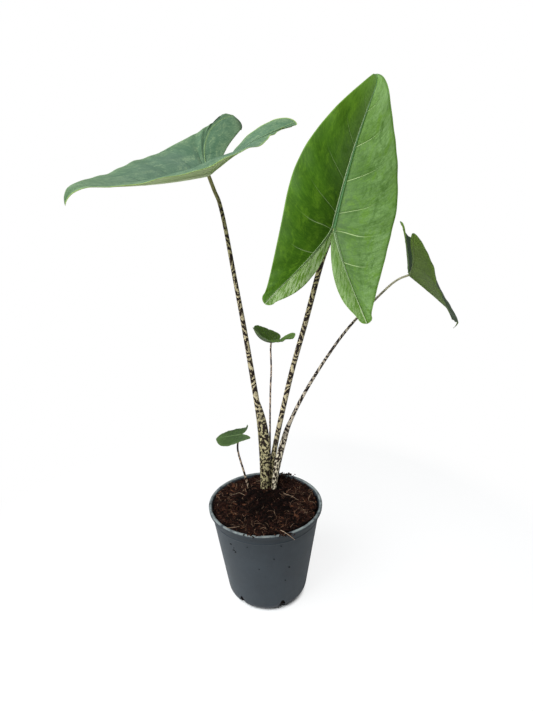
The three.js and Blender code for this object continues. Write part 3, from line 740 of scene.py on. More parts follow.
def blade_arrays(name, rows, columns, settings):
    """Points, faces and attributes of a whole blade: for each side the outer and the notch patch."""
    leaf = LEAVES[name]
    form = (bend_blade(leaf), joint_frame(leaf))
    points, faces, veins, blade = [], [], [], []
    start = 0
    for sign in (1, -1):
        for notch, part in ((False, 1), (True, 2)):
            u = np.linspace(0, 1, rows // part + 1)
            v = np.linspace(0, 1, columns // part + 1) ** 1.35
            (top, bottom, edge), vein, place = blade_patch(leaf, form, u, v, notch, sign, settings)
            count = top.shape[0] * top.shape[1]
            under = place.copy()
            under[..., 1] = 1.0
            points += [top.reshape(-1, 3), bottom.reshape(-1, 3), edge]
            veins += [vein.reshape(-1, 3), vein.reshape(-1, 3), vein[:, -1]]
            blade += [place.reshape(-1, 3), under.reshape(-1, 3), place[:, -1]]
            faces.append(grid_quads(len(u), len(v), start))
            faces.append(grid_quads(len(u), len(v), start + count)[:, ::-1])
            last = np.arange(len(u)) * len(v) + len(v) - 1
            rim = 2 * count + np.arange(len(u))
            faces.append(index_quads(start + np.stack([last, rim, count + last], axis=1)))
            start += 2 * count + len(u)
    low, high = (np.array(corner) / MM for corner in CAD_BOX)
    points = [np.clip(part, low + CLEAR, high - CLEAR) for part in points]
    return [np.concatenate(part) for part in (points, faces, veins, blade)]


def leaf_marks(s, look):
    """The marks that a leaf's colours follow, from 0 to 1 but for the distances in mm.

    "veins" holds the side veins' phase, v, and the side: 0 on the rib, 0.3 on the outer and 1 on the notch's
    patch, less than 0 at the right. "blade" holds u, 1 on the lower face, and the half's width.
    """
    m = types.SimpleNamespace()
    phase, m.across, m.side = s.attribute("veins")
    m.along, m.under, width = s.attribute("blade")
    size = look["size"]
    m.right = m.side.rise(-0.05, -0.25)
    m.lobe = m.along.rise(0.485, 0.54)
    m.from_rib = m.across * width
    m.from_margin = (1.0 - m.across) * width

    m.rib_width = (1.0 - abs(m.along - 0.5) * 1.6) * (1.0 - m.lobe * 0.45) * (2.3 * size)
    m.rib = (m.from_rib / m.rib_width).rise(1.12, 0.85)
    # Painted shade at the foot of the raised rib.
    m.beside_rib = (m.from_rib / m.rib_width).rise(2.3, 1.1) * (1.0 - m.rib)
    m.lobe_lines = abs(m.from_rib - m.rib_width).rise(0.4 * size + 0.1, 0.1) * m.lobe

    spacing = (1.0 - m.lobe * 0.45) * (32.0 * size)
    from_vein = abs((phase + 100.5).maths("FRACT") - 0.5) * spacing
    vein_widths = from_vein / ((1.0 - m.across * 0.8) * (0.40 * size + 0.05))
    shown = m.along.rise(0.05, 0.2) * m.along.rise(0.75, 0.68)
    m.vein = vein_widths.rise(1.35, 0.35) * m.across.rise(0.78, 0.25) * shown
    m.vein_under = vein_widths.rise(2.0, 0.5) * shown
    # A band along each side vein: painted shade in the colour, and sunk in the relief.
    m.beside_vein = (from_vein / (3.4 * size)).rise(1.0, 0.0) * m.across.rise(0.95, 0.3) * shown

    m.margin = m.from_margin.rise((0.75 * size + 0.15) * look["edge"], 0.2) * (0.4 + 0.2 * look["edge"])
    m.margin = m.margin * (1.0 - m.right * look["bare"])

    point = s.place()
    m.drift = s.noise(point, 17 * size + 3, 3.0, 0.6)
    m.speck = s.noise(point, 1.5, 3.0, 0.7)
    m.streak = s.noise(s.join(phase, m.across * 0.13, m.under * 3.0), 0.022, 5.0, 0.75, 0.5)
    m.fan = s.noise(s.join(phase, m.across * 0.5, m.under * 3.0 + 7.0), 0.16, 3.0, 0.6, 0.6)
    along_vein = s.join(phase * 9.0 * size, m.across * 22.0 * size, m.under * 5.0)
    m.mottle = s.noise(along_vein, 4.2 * size, 3.0, 0.65, 0.8)
    m.net = s.cells(s.join(phase * 32.0 * size, m.from_rib * 0.8, m.under * 9.0), 2.3 * size).rise(0.0, 0.2)
    return m


def painted(s, look, first, coats):
    """The look's first colour under coats that each hold a strength from 0 to 1 and the name of a colour."""
    colour = look[first]
    for strength, name in coats:
        colour = s.mix(strength, colour, look[name])
    return colour


def upper_colour(s, m, look):
    """Green that pales to the margin and tip, painted sheen and shade, mottle, painted highlights, veins and
    ribs.
    """
    size = look["size"]
    upper = 1.0 - m.under
    # Painted shade: away from the tip the left half does not pale towards its margin; near the tip a painted
    # sheen pales it beside the rib.
    shaded = m.side.rise(0.05, 0.25) * look["shaded"]
    glow = (m.from_margin / size + m.drift * 14.0).rise(20.0, 5.0)
    glow = glow * (1.0 - shaded * m.along.rise(0.18, 0.40))
    # Painted sheen: a pale haze over the right half of the upper face, stronger towards the margin.
    painted_sheen = m.side.rise(0.05, -0.25) * (0.5 + m.fan.rise(0.35, 0.65) * 0.5) * upper
    painted_sheen = painted_sheen * (0.3 + m.across.rise(0.1, 0.75) * 0.7 + m.along.rise(0.4, 0.2) * 0.2)
    painted_sheen = painted_sheen * (1.0 + m.lobe * 0.2) * (0.4 + m.along.rise(1.0, 0.9) * 0.6)
    # Painted highlights on the patches beside the notch: a pale wash, pale lines and stronger streaks.
    notch_highlight = m.side.rise(0.4, 1.0) * look["notch_highlight"][0] + m.side.rise(-0.4, -1.0) * look["notch_highlight"][1]
    notch_highlight = notch_highlight * upper * m.across.rise(0.0, 0.15) * m.along.rise(1.0, 0.90)
    # Painted light and shade on the midrib's flanks: a pale line on its left and a dark line on its right.
    rib_side = abs(m.from_rib - m.rib_width * 0.95).rise(0.75 * size, 0.15)
    rib_side = rib_side * (1.0 - m.lobe) * m.along.rise(0.03, 0.2)
    # Painted light and shade beside the lobe ribs: pale on the notch's side, dark on the outer side.
    by_notch = m.lobe * abs(m.side).rise(0.36, 0.7)
    by_outer = m.lobe * abs(m.side).rise(0.34, 0.28)
    return painted(s, look, "deep", [
        ((m.drift * 0.5 + m.fan * 0.5).rise(0.36, 0.62), "green"),
        ((glow * 0.62).maths("MAXIMUM", m.along.rise(0.40, 0.05) * 0.75), "light"),
        (painted_sheen * look["painted_sheen"], "pale"),
        (shaded * m.across.rise(0.8, 0.0) * m.along.rise(0.47, 0.25) * 0.45, "pale"),
        (m.along.rise(0.20, 0.02) * upper * look["painted_sheen"] * 0.5, "pale"),
        (m.mottle.rise(0.50, 0.68) * look["marbled"], "light"),
        (m.mottle.rise(0.48, 0.30) * look["marbled"], "deep"),
        (m.from_margin.rise(2.6 * size, 1.0 * size) * m.right * look["painted_sheen"] * 0.7, "deep"),
        (notch_highlight * 0.6, "margin"),
        (notch_highlight * m.fan.rise(0.42, 0.56) * 0.85, "line"),
        (m.streak.rise(0.45, 0.70) * (notch_highlight * 0.4 + 0.5), "light"),
        (m.streak.rise(0.5, 0.30) * (notch_highlight * 0.8 + 0.45), "deep"),
        # The net of veins in deep green, with painted shade beside the side veins and the rib.
        ((1.0 - m.net) * look["net"] + m.beside_vein * 0.25 + m.beside_rib * 0.5, "deep"),
        (m.vein * (0.85 - m.side.rise(0.0, 0.3) * 0.4), "vein"),
        (m.rib * (0.85 - m.lobe * 0.5), "rib"),
        (m.lobe_lines * 0.9, "line"),
        (rib_side * m.side.rise(0.02, 0.2) * 0.7, "line"),
        (rib_side * m.side.rise(-0.02, -0.2) * 0.7, "deep"),
        (m.from_rib.rise(1.7 * size, 0.7 * size) * by_notch * 0.75, "line"),
        (m.from_rib.rise(2.0 * size, 0.8 * size) * by_outer * 0.6, "deep"),
        (m.along.rise(0.08, 0.01) * look["bare"] * 0.7, "vein"),
        (m.margin, "margin"),
    ])


def under_colour(s, m, look):
    """The pale lower face, with its net, veins and ribs."""
    return painted(s, look, "under_deep", [
        (m.drift.rise(0.3, 0.7), "under"),
        ((1.0 - m.net) * 0.08 + m.vein_under * 0.5, "under_vein"),
        (m.streak.rise(0.5, 0.75) * 0.2, "under_vein"),
        (m.rib * 0.75, "under_rib"),
        (m.margin, "margin"),
    ])


def leaf_material(name, look):
    """Satin leaf with a matt underside, fine specks on both, and a relief of ribs, veins and net."""
    s = Shader(name, specular_ior_level=look["gloss"])
    m = leaf_marks(s, look)
    size = look["size"]
    colour = s.mix(m.under.rise(0.35, 0.65), upper_colour(s, m, look), under_colour(s, m, look))
    specked = 0.15 - m.under * 0.11
    colour = s.mix(m.speck.rise(0.56, 0.72) * specked, colour, look["light"])
    colour = s.mix(m.speck.rise(0.44, 0.28) * specked, colour, look["deep"])
    roughness = look["rough"] + m.streak * 0.10 + m.speck * 0.05 + m.under * 0.2
    roughness = roughness + m.from_margin.rise(16.0 * size, 0.0) * 0.15
    relief = m.net * 0.06 + m.fan * 0.4 - m.vein * 1.4 * (1.0 - m.under * 2.0) - m.beside_vein * 0.5
    relief = relief + m.lobe_lines * 1.2 + m.rib * 2.0
    return s.finish(colour, roughness, s.bump(relief, 0.14 * size + 0.03))


# Each leaf's material. "size" is the leaf's beside the middle one, "edge" the width of the pale margin, and
# "bare" how far the right margin goes without it. These are strengths: "wedge" of the painted highlights
# beside the notch at the left and the right, "marbled" of the mottle, "bloom" of the painted sheen on the
# right half, "shaded" of the painted shade on the left half and its painted sheen by the rib, and "net" of
# the net between the veins.
PLAIN_LOOK = {"notch_highlight": (0.0, 0.0), "painted_sheen": 0.0, "shaded": 0.0, "edge": 1.0, "bare": 0.0}
SMALL_LOOK = {
    **PLAIN_LOOK, "size": 0.32, "gloss": 0.30, "rough": 0.36, "marbled": 0.4, "net": 0.2,
    "vein": (0.130, 0.210, 0.060), "line": (0.140, 0.220, 0.070), "rib": (0.100, 0.160, 0.060),
    "margin": (0.080, 0.130, 0.040), "pale": (0.080, 0.130, 0.040), "under": (0.120, 0.180, 0.070),
    "under_deep": (0.090, 0.140, 0.050), "under_vein": (0.080, 0.120, 0.045),
    "under_rib": (0.200, 0.250, 0.130),
}
LOOKS = {
    "middle": {
        **PLAIN_LOOK, "size": 1.0, "gloss": 0.13, "rough": 0.32, "marbled": 0.55, "net": 0.25,
        "notch_highlight": (0.8, 0.3), "painted_sheen": 0.78, "shaded": 0.8, "deep": (0.023, 0.070, 0.003),
        "green": (0.040, 0.108, 0.005), "light": (0.095, 0.200, 0.012), "vein": (0.340, 0.450, 0.200),
        "line": (0.400, 0.490, 0.280), "rib": (0.066, 0.165, 0.062), "margin": (0.150, 0.260, 0.040),
        "pale": (0.163, 0.268, 0.098), "under": (0.150, 0.260, 0.070), "under_deep": (0.115, 0.215, 0.050),
        "under_vein": (0.200, 0.320, 0.110), "under_rib": (0.290, 0.380, 0.170),
    },
    "left": {
        **PLAIN_LOOK, "size": 0.97, "gloss": 0.15, "rough": 0.45, "marbled": 0.9, "net": 0.6, "edge": 1.5,
        "bare": 0.85, "deep": (0.042, 0.095, 0.050), "green": (0.075, 0.140, 0.078),
        "light": (0.150, 0.220, 0.115), "vein": (0.026, 0.070, 0.030), "line": (0.190, 0.290, 0.120),
        "rib": (0.130, 0.220, 0.070), "margin": (0.300, 0.410, 0.090), "pale": (0.100, 0.180, 0.080),
        "under": (0.520, 0.640, 0.330), "under_deep": (0.430, 0.560, 0.260),
        "under_vein": (0.560, 0.680, 0.400), "under_rib": (0.620, 0.720, 0.440),
    },
    "right": {
        **PLAIN_LOOK, "size": 0.75, "gloss": 0.42, "rough": 0.34, "marbled": 0.5, "net": 0.3, "edge": 1.4,
        "deep": (0.034, 0.078, 0.026), "green": (0.055, 0.112, 0.040), "light": (0.085, 0.150, 0.052),
        "vein": (0.120, 0.200, 0.080), "line": (0.140, 0.220, 0.100), "rib": (0.110, 0.180, 0.080),
        "margin": (0.140, 0.210, 0.090), "pale": (0.100, 0.170, 0.070), "under": (0.125, 0.215, 0.020),
        "under_deep": (0.100, 0.180, 0.015), "under_vein": (0.080, 0.140, 0.015),
        "under_rib": (0.220, 0.300, 0.110),
    },
    "small_back": {
        **SMALL_LOOK, "deep": (0.044, 0.098, 0.006), "green": (0.078, 0.150, 0.010),
        "light": (0.100, 0.190, 0.026),
    },
    "small_left": {
        **SMALL_LOOK, "deep": (0.018, 0.040, 0.008), "green": (0.034, 0.066, 0.014),
        "light": (0.060, 0.110, 0.026),
    },
}

# ---------------------------------------------------------------- stalks


def stalk_arrays(stalk, rings, sides):
    """A tube round the stalk's middle line, whose radius swells on one side into the sheath.

    Point = middle + (r + wing)(east cos a + north sin a), and wing = reach sin(pi p^1.35)^0.8
    max(cos(a - toward), 0)^4, with p the share of the sheath's height. The upper end is a dome that stops on
    the joint.
    """
    t = np.linspace(0, 1, rings)
    spot, tangent = catmull_rom(stalk["route"], t)
    radii = stalk["radii"]
    radius = np.interp(t * (len(radii) - 1), np.arange(len(radii)), radii)
    run = np.concatenate([[0], np.cumsum(np.linalg.norm(np.diff(spot, axis=0), axis=1))])
    last = radius[-1]
    keep = run < run[-1] - last
    dome = np.radians(np.linspace(0, 88, 8))
    dome_run = run[-1] - last * (1 - np.sin(dome))
    dome_spot, dome_tangent = catmull_rom(stalk["route"], np.interp(dome_run, run, t))
    spot = np.vstack([spot[keep], dome_spot])
    tangent = np.vstack([tangent[keep], dome_tangent])
    radius = np.concatenate([radius[keep], last * np.cos(dome)])
    run = np.concatenate([run[keep], dome_run])
    east = unit(np.array([1.0, 0, 0]) - tangent * tangent[:, :1])
    north = np.cross(tangent, east)
    angle = ring_angles(sides)
    wing = np.zeros((len(spot), sides))
    sheathed = np.zeros(len(spot))
    if stalk["sheath"]:
        sheath = stalk["sheath"]
        part = np.clip((spot[:, 2] - sheath["from"]) / (sheath["to"] - sheath["from"]), 0, 1)
        swell = np.sin(math.pi * part ** 1.35) ** 0.8
        facing = np.maximum(np.cos(angle - math.radians(sheath["toward"])), 0) ** 4
        wing = sheath["reach"] * swell[:, None] * facing[None, :]
        sheathed = 1 - smoothstep(spot[:, 2], sheath["to"] - 42, sheath["to"] + 4)
    round_x, round_y, run_grid, share, sheathed = np.broadcast_arrays(
        np.cos(angle)[None, :], np.sin(angle)[None, :], run[:, None], (run / run[-1])[:, None],
        sheathed[:, None])
    outwards = round_x[..., None] * east[:, None, :] + round_y[..., None] * north[:, None, :]
    points = spot[:, None, :] + (radius[:, None] + wing)[..., None] * outwards

    def with_ends(grid, ends):
        return np.vstack([grid.reshape(-1, 3), ends])
    points = with_ends(points, [spot[0], spot[-1]])
    round_it = np.stack([round_x, round_y, run_grid], axis=-1)
    round_it = with_ends(round_it, round_it[[0, -1], 0])
    finish = np.stack([share, sheathed, 0 * share], axis=-1)
    finish = with_ends(finish, finish[[0, -1], 0])
    count = len(spot) * sides
    first = np.arange(sides)
    after = np.roll(first, -1)
    top = count - sides
    lower = np.stack([first, after, np.full(sides, count)], axis=1)
    upper = np.stack([first + top, after + top, np.full(sides, count + 1)], axis=1)
    return points, [*grid_quads(len(spot), sides, wrap=True), *lower, *upper], round_it, finish


def stalk_material(name, settings, ground, green, radius, fine_top=0.0, plain_top=0.03):
    """Zebra bands: sine bands along the stalk, tilted and broken by noise, finer and netted on the sheath.

    The bands are finer again over the upper share fine_top, and fade over the upper share plain_top.
    """
    s = Shader(name, roughness=0.4, specular_ior_level=0.25)
    around_x, around_y, run = s.attribute("stalk_round")
    share, sheath = s.attribute("stalk_finish")[:2]
    skin_x, skin_y = around_x * radius, around_y * radius
    skin = s.join(skin_x, skin_y, run)
    jag = s.noise(skin, 1.6, 2.0, 0.6)
    lean = (run * (2 * math.pi / 41.0)).sine() * around_x
    lean = lean + (run * (2 * math.pi / 29.0) + 1.0).sine() * around_y
    turns = run / (settings.band_spacing / MM) + lean * 0.45 + s.noise(skin, 6.5, 2.0, 0.5) * 1.5
    bands = ((turns * (2 * math.pi)).sine() + (jag - 0.5) * 1.6).rise(-0.36, -0.12)
    fleck = s.noise(s.join(skin_x, skin_y, run * 0.7), 2.6, 1.0, 0.5, 1.2)
    bands = bands.maths("MAXIMUM", fleck.rise(0.61, 0.64))
    bands = bands.maths("MINIMUM", fleck.rise(0.33, 0.36))
    wider = s.join(around_x * (radius + 1.6), around_y * (radius + 1.6), run * 0.6)
    fine = s.noise(wider, 1.8, 1.0, 0.5, 0.6).rise(0.465, 0.495)
    netted = sheath.rise(0.15, 0.6)
    if fine_top:
        netted = netted.maths("MAXIMUM", share.rise(1.0 - fine_top, 1.0) * 0.9)
    pattern = bands + (fine - bands) * netted
    plain = share.rise(1.0 - plain_top, 1.0 - plain_top * 0.3)
    pattern = pattern * (1.0 - plain * 0.85)
    base = s.mix(s.noise(skin, 12.0, 2.0, 0.5).rise(0.35, 0.65), ground, tinted(ground, 0.72))
    base = s.mix(share.rise(0.6, 1.0) * 0.75 + sheath * 0.3, base, green)
    dark = s.mix(s.noise(skin, 2.5).rise(0.35, 0.7), settings.dark, (0.020, 0.011, 0.007))
    colour = s.mix(pattern, base, dark)
    fibres = s.noise(s.join(around_x * 9.0, around_y * 9.0, run * 0.12), 1.0)
    return s.finish(colour, 0.42 + jag * 0.12, s.bump(pattern * 0.4 + fibres * 0.9, 0.09))


# ---------------------------------------------------------------- pot

def wall_radius(z, high):
    """The outer wall's radius at height z: shoulder - (shoulder - knee)(top - z) / (top - knee's height)."""
    knee, knee_high = POT_KNEE
    top = high - POT_LIP
    return POT_SHOULDER - (POT_SHOULDER - knee) * (top - z) / (top - knee_high)


def pot_outline(settings):
    """The pot's outline as corners of radius, height and rounding, up the outside and down the inside."""
    high, rim, wall = settings.height / MM, settings.rim_radius / MM, settings.wall / MM
    knee, knee_high = POT_KNEE
    ring = high - POT_RING
    lip = high - POT_LIP
    return np.array([
        [0, 0.7, 0], [POT_FOOT - 5.5, 0.7, 0.3], [POT_FOOT - 4.5, 0, 0.4], [POT_FOOT, 0, 0.8],
        [POT_FOOT + 4.5, 2.6, 1.6], [knee - 1, knee_high - 3.2, 2.0], [knee, knee_high, 1.2],
        [wall_radius(ring - 0.9, high), ring - 0.9, 0.3], [wall_radius(ring, high) + 0.5, ring, 0.4],
        [wall_radius(ring + 0.9, high), ring + 0.9, 0.3], [POT_SHOULDER, lip, 0.5], [rim - 0.3, lip, 0.35],
        [rim, high - 0.7, 0.3], [rim - 0.8, high, 0.5], [rim - 2.4, high, 0.5], [rim - 3.6, high - 1.6, 0.6],
        [POT_SHOULDER - wall, lip - 2, 0.8], [knee - wall, knee_high, 1.0], [knee - wall - 2.6, 4.4, 1.0],
        [POT_FOOT, 1.8, 0.6], [0, 1.8, 0],
    ])


def rounded(corners, steps=5):
    """Each corner p becomes (1-t)^2 a + 2t(1-t) p + t^2 b, with a and b on the lines before and after it."""
    spots, rounding = corners[:, :2], corners[:, 2:]
    before = spots + unit(np.roll(spots, 1, axis=0) - spots) * rounding
    after = spots + unit(np.roll(spots, -1, axis=0) - spots) * rounding
    t = np.linspace(0, 1, steps)[None, :, None]
    turned = (1 - t) ** 2 * before[:, None] + 2 * t * (1 - t) * spots[:, None] + t ** 2 * after[:, None]
    return turned.reshape(-1, 2)


def lathe(profile, sides):
    """Point = (r cos a, r sin a, z) for each r and z of the profile and each of the angles."""
    angle = ring_angles(sides)
    r, z = profile[:, :1], profile[:, 1:]
    points = np.stack([r * np.cos(angle), r * np.sin(angle), np.broadcast_to(z, (len(r), sides))], axis=-1)
    return points.reshape(-1, 3), grid_quads(len(profile), sides, wrap=True)


def drain_cutter(turn, sides=40):
    """A short elliptic rod that lies across the foot of the wall."""
    angle = ring_angles(sides)
    ellipse = np.stack([DRAIN["width"] / 2 * np.cos(angle), DRAIN["height"] / 2 * np.sin(angle)], axis=-1)
    reach = DRAIN["reach"] + DRAIN["length"] * np.repeat([-0.5, 0.5], sides)
    points = np.column_stack([reach, np.tile(ellipse, (2, 1))])
    spin = np.array([[math.cos(turn), -math.sin(turn), 0], [math.sin(turn), math.cos(turn), 0], [0, 0, 1]])
    mesh = bpy.data.meshes.new("drain_cutter")
    mesh.from_pydata((points @ spin.T * MM).tolist(), [], tube_faces(2, sides))
    face_outwards(mesh)
    return add_object("drain_cutter", mesh)


def cut_drains(pot):
    """Cuts the rounded drain slots out of the pot's foot with Boolean modifiers, and applies them."""
    turns = math.radians(DRAIN["first_angle"]) + ring_angles(DRAIN["count"])
    cutters = [drain_cutter(turn) for turn in turns]
    for cutter in cutters:
        cut = pot.modifiers.new("drain", "BOOLEAN")
        cut.operation = "DIFFERENCE"
        cut.object = cutter
        cut.solver = "EXACT"
    view = bpy.context.evaluated_depsgraph_get()
    made = bpy.data.meshes.new_from_object(pot.evaluated_get(view))
    pot.modifiers.clear()
    pot.data = made
    for cutter in cutters:
        bpy.data.objects.remove(cutter)


def pot_material(settings):
    """Satin moulded plastic: fine grain, dust, upright scuffs, dried splashes and painted shade under the
    lip.
    The rim's top is pale with dust and a painted highlight.
    """
    s = Shader("pot_plastic", specular_ior_level=0.2)
    point = s.place()
    x, y, z = s.split(point)
    around = s.node("ShaderNodeMath", {"operation": "ARCTAN2"}, {"Value": y, "Value_001": x})
    cloud = s.noise(point, 34.0, 3.0, 0.55)
    grain = s.noise(point, 0.45, 2.0, 0.6)
    scuff = s.noise(s.join(around * 60.0, z * 0.10, 0.0), 1.3, 3.0, 0.65)
    faint = s.noise(s.join(around * 14.0, z * 1.0, 0.0), 2.6, 3.0, 0.7)
    splash = s.cells(s.join(around * 50.0, z, 2.0), 7.5, "F1")
    dust = s.noise(point, 6.0, 4.0, 0.7)
    paler = tinted(settings.plastic, 1.35, 0.006)
    colour = s.mix(cloud.rise(0.3, 0.7), tinted(settings.plastic, 0.78), settings.plastic)
    colour = s.mix(scuff.rise(0.56, 0.74) * 0.25 + faint.rise(0.6, 0.8) * 0.15, colour, paler)
    colour = s.mix(splash.rise(0.10, 0.04) * 0.35, colour, (0.012, 0.010, 0.008))
    colour = s.mix(dust.rise(0.58, 0.8) * 0.12, colour, (0.12, 0.115, 0.10))
    high = settings.height / MM
    lip = high - POT_LIP
    # Painted shade in a band just under the lip.
    shade_under_lip = z.rise(lip - 2.0, lip - 0.4) * z.rise(lip + 1.4, lip - 0.4)
    colour = s.mix(shade_under_lip * 0.5, colour, (0.012, 0.015, 0.018))
    # The rim's top in paler grey: a painted highlight, broken up by dust.
    highlighted = z.rise(high - 1.3, high - 0.5) * s.noise(point, 9.0, 3.0, 0.7).rise(0.3, 0.6)
    highlighted = highlighted * (dust * 0.8 + 0.45)
    colour = s.mix(highlighted.clamp(), colour, settings.rim_highlight_and_dust)
    foot_mud = z.rise(16.0, 0.0) * s.noise(point, 5.0, 3.0, 0.6).rise(0.42, 0.75)
    colour = s.mix(foot_mud * 0.45, colour, (0.035, 0.026, 0.020))
    roughness = 0.40 + cloud * 0.12 + dust * 0.12 + grain * 0.06
    relief = grain * 0.35 + scuff.rise(0.5, 0.8) * -0.35
    return s.finish(colour, roughness, s.bump(relief, 0.05))


# ---------------------------------------------------------------- potting mix

def soil_height(x, y):
    """Edge height + crown (1 - r^2) + a rise towards the front rim + low lumps, with r 1 at the wall."""
    r = np.hypot(x, y) / POT_SHOULDER
    front = smoothstep(-y / POT_SHOULDER, 0.2, 1) * r
    lumps = np.sin(x * 0.21 + 1.3) * np.cos(y * 0.17 - 0.4) + 0.6 * np.sin(x * 0.43 - y * 0.38)
    return SOIL["edge"] + SOIL["crown"] * (1 - r ** 2) + SOIL["front_rise"] * front + SOIL["lump"] * lumps


def banked(x, y):
    """Loose mix that lies against the wall, less of it at the back left."""
    back_left = bell(np.hypot(x + 26, y - 48) / 22)
    return 2.2 * smoothstep(np.hypot(x, y), 36, 54) * (1 - 0.8 * back_left)


def soil_arrays(rng):
    """The filling: a disc whose height is soil_height + crumbs, closed by the pot's inner wall and floor.

    Crumbs = the highest of many domes, each sqrt(1 - (d / radius)^2) of its radius, plus fine waviness.
    """
    rings, sides = 84, 300
    r = np.linspace(0, 1, rings) ** 0.9 * SOIL["radius"]
    angle = ring_angles(sides)
    x = (r[:, None] * np.cos(angle)).ravel()
    y = (r[:, None] * np.sin(angle)).ravel()
    crumb_x, crumb_y = in_disc(rng, CRUMBS, SOIL["radius"])
    size = rng.uniform(1.0, 3.2, CRUMBS)
    lift = rng.uniform(0.2, 0.65, CRUMBS)
    top = np.zeros(len(x))
    for part in np.array_split(np.arange(CRUMBS), 10):
        d = np.hypot(x[:, None] - crumb_x[part], y[:, None] - crumb_y[part]) / size[part]
        dome = np.sqrt(np.clip(1 - d ** 2, 0, 1)) * size[part] * lift[part]
        top = np.maximum(top, dome.max(axis=1))
    fine = waviness(np.stack([x, y], axis=-1), rng, 40, 1.1, 5.0)
    z = soil_height(x, y) - 1.1 + top + 0.22 * fine + banked(x, y)
    z = np.minimum(z, SOIL["brim"] + 3 * smoothstep(np.hypot(x, y), 50, 30))
    lower = lathe(np.array(SOIL_SIDE), sides)[0]
    points = np.vstack([np.stack([x, y, z], axis=-1), lower])
    return points, grid_quads(rings + len(SOIL_SIDE), sides, wrap=True)


def spin_frames(rng, count, flatness):
    """Random turns, as columns: the first axis lies near the ground, less so where flatness is small."""
    ahead = rng.normal(size=(count, 3))
    ahead[:, 2] *= 1 - flatness
    ahead = unit(ahead)
    side = unit(np.cross(ahead, rng.normal(size=(count, 3))))
    return np.stack([ahead, side, np.cross(ahead, side)], axis=-1)


def chip_arrays(rng, centres, lengths, widths, depths, flatness=0.75):
    """Bark chips: a box of eight jittered corners for each centre, turned at random."""
    count = len(centres)
    corners = np.array([[i, j, k] for i in (-1, 1) for j in (-1, 1) for k in (-1, 1)], dtype=float) / 2
    body = corners[None] * np.stack([lengths, widths, depths], axis=-1)[:, None]
    body = body * rng.uniform(0.45, 1.15, (count, 8, 3))
    points = np.einsum("nij,nkj->nki", spin_frames(rng, count, flatness), body) + centres[:, None]
    box = np.array([[0, 1, 3, 2], [4, 6, 7, 5], [0, 4, 5, 1], [2, 3, 7, 6], [0, 2, 6, 4], [1, 5, 7, 3]])
    faces = (box[None] + 8 * np.arange(count)[:, None, None]).reshape(-1, 4)
    return points.reshape(-1, 3), faces


def fibre_arrays(rng, centres, lengths, thickness, flatness=0.8, bow=0.35):
    """Coir fibres: three-sided tubes along the curve s ahead + bow s^2 side + wriggle, with closed ends."""
    count, steps = len(centres), 6
    axes = spin_frames(rng, count, flatness)
    s = np.linspace(-0.5, 0.5, steps)
    bows = rng.uniform(-bow, bow, count)[:, None] * (4 * s ** 2 - 0.5)
    wriggle = rng.normal(0, 0.035, (count, steps))
    local = np.stack([np.broadcast_to(s, (count, steps)), bows, wriggle], axis=-1) * lengths[:, None, None]
    path = np.einsum("nij,nkj->nki", axes, local) + centres[:, None]
    angle = ring_angles(3)
    taper = np.sin(np.linspace(0.5, math.pi - 0.5, steps))
    ring = axes[:, None, :, 1, None] * np.cos(angle) + axes[:, None, :, 2, None] * np.sin(angle)
    out = thickness[:, None, None, None] * taper[None, :, None, None] * ring
    points = path[..., None] + out
    points = np.swapaxes(points, 2, 3).reshape(-1, 3)
    quads = grid_quads(steps, 3, wrap=True)
    ends = np.array([[0, 1, 2], [steps * 3 - 1, steps * 3 - 2, steps * 3 - 3]])
    starts = steps * 3 * np.arange(count)[:, None, None]
    return points, [*(quads[None] + starts).reshape(-1, 4), *(ends[None] + starts).reshape(-1, 3)]


def strand_arrays(path, radius, steps=16, sides=6):
    """A tube of the radius round a smooth line through the path's points, half as thick at its end."""
    t = np.linspace(0, 1, steps)
    spot, tangent = catmull_rom(path, t)
    side = unit(np.cross(tangent, (0.1, 0.3, 1.0)))
    up = np.cross(side, tangent)
    angle = ring_angles(sides)
    ring = side[:, None] * np.cos(angle)[None, :, None] + up[:, None] * np.sin(angle)[None, :, None]
    points = spot[:, None] + ring * (radius * (1 - 0.5 * t))[:, None, None]
    return points.reshape(-1, 3), tube_faces(steps, sides)


def on_soil(rng, count, limit, lift):
    """Random places on the mix, lift above it."""
    x, y = in_disc(rng, count, limit)
    ground = np.minimum(soil_height(x, y) + banked(x, y), SOIL["brim"] - 0.6)
    return np.stack([x, y, ground + rng.uniform(*lift, count)], axis=-1)


def scatter_chips(rng, count, high):
    """Bark chips on the mix, in heaps over the rim and on the wall: points, faces and each point's tone."""
    on_top = on_soil(rng, count, 54.5, (-0.4, 1.1))
    heaps = np.vstack([rng.normal((x, y, 0), (4.5, 1.3, 0), (42, 3)) for x, y in SPILLS])
    heaps[:, 2] = rng.uniform(107.6, 108.9, len(heaps))
    turn, z = np.array(SPECKS).T
    r = wall_radius(z, high)
    specks = np.stack([r * np.cos(np.radians(turn)), r * np.sin(np.radians(turn)), z], axis=-1)
    centres = np.vstack([on_top, heaps, specks])
    size = np.concatenate([rng.gamma(3.0, 0.46, count) + 0.5, rng.uniform(0.9, 2.1, len(heaps)),
                           rng.uniform(1.0, 1.9, len(specks))])
    points, faces = chip_arrays(rng, centres, size * 1.6, size * 0.75, size * 0.45)
    tone = rng.beta(1.1, 2.9, len(centres))
    tone[-len(specks):] = 0.0
    return points, faces, np.repeat(tone, len(points) // len(centres))


def scatter_fibres(rng, count):
    """Coir fibres on the mix and over the rim at the front: points, faces and each point's tone."""
    on_top = on_soil(rng, count, 53.5, (0.0, 1.9))
    heaps = [rng.normal((x, y, 108.4), (4.0, 1.2, 0.1), (8, 3)) for x, y in SPILLS[:2]]
    centres = np.vstack([on_top, *heaps])
    lengths = rng.uniform(3, 14, len(centres))
    points, faces = fibre_arrays(rng, centres, lengths, rng.uniform(0.08, 0.19, len(centres)))
    return points, faces, np.repeat(rng.beta(1.3, 2.0, len(centres)), len(points) // len(centres))


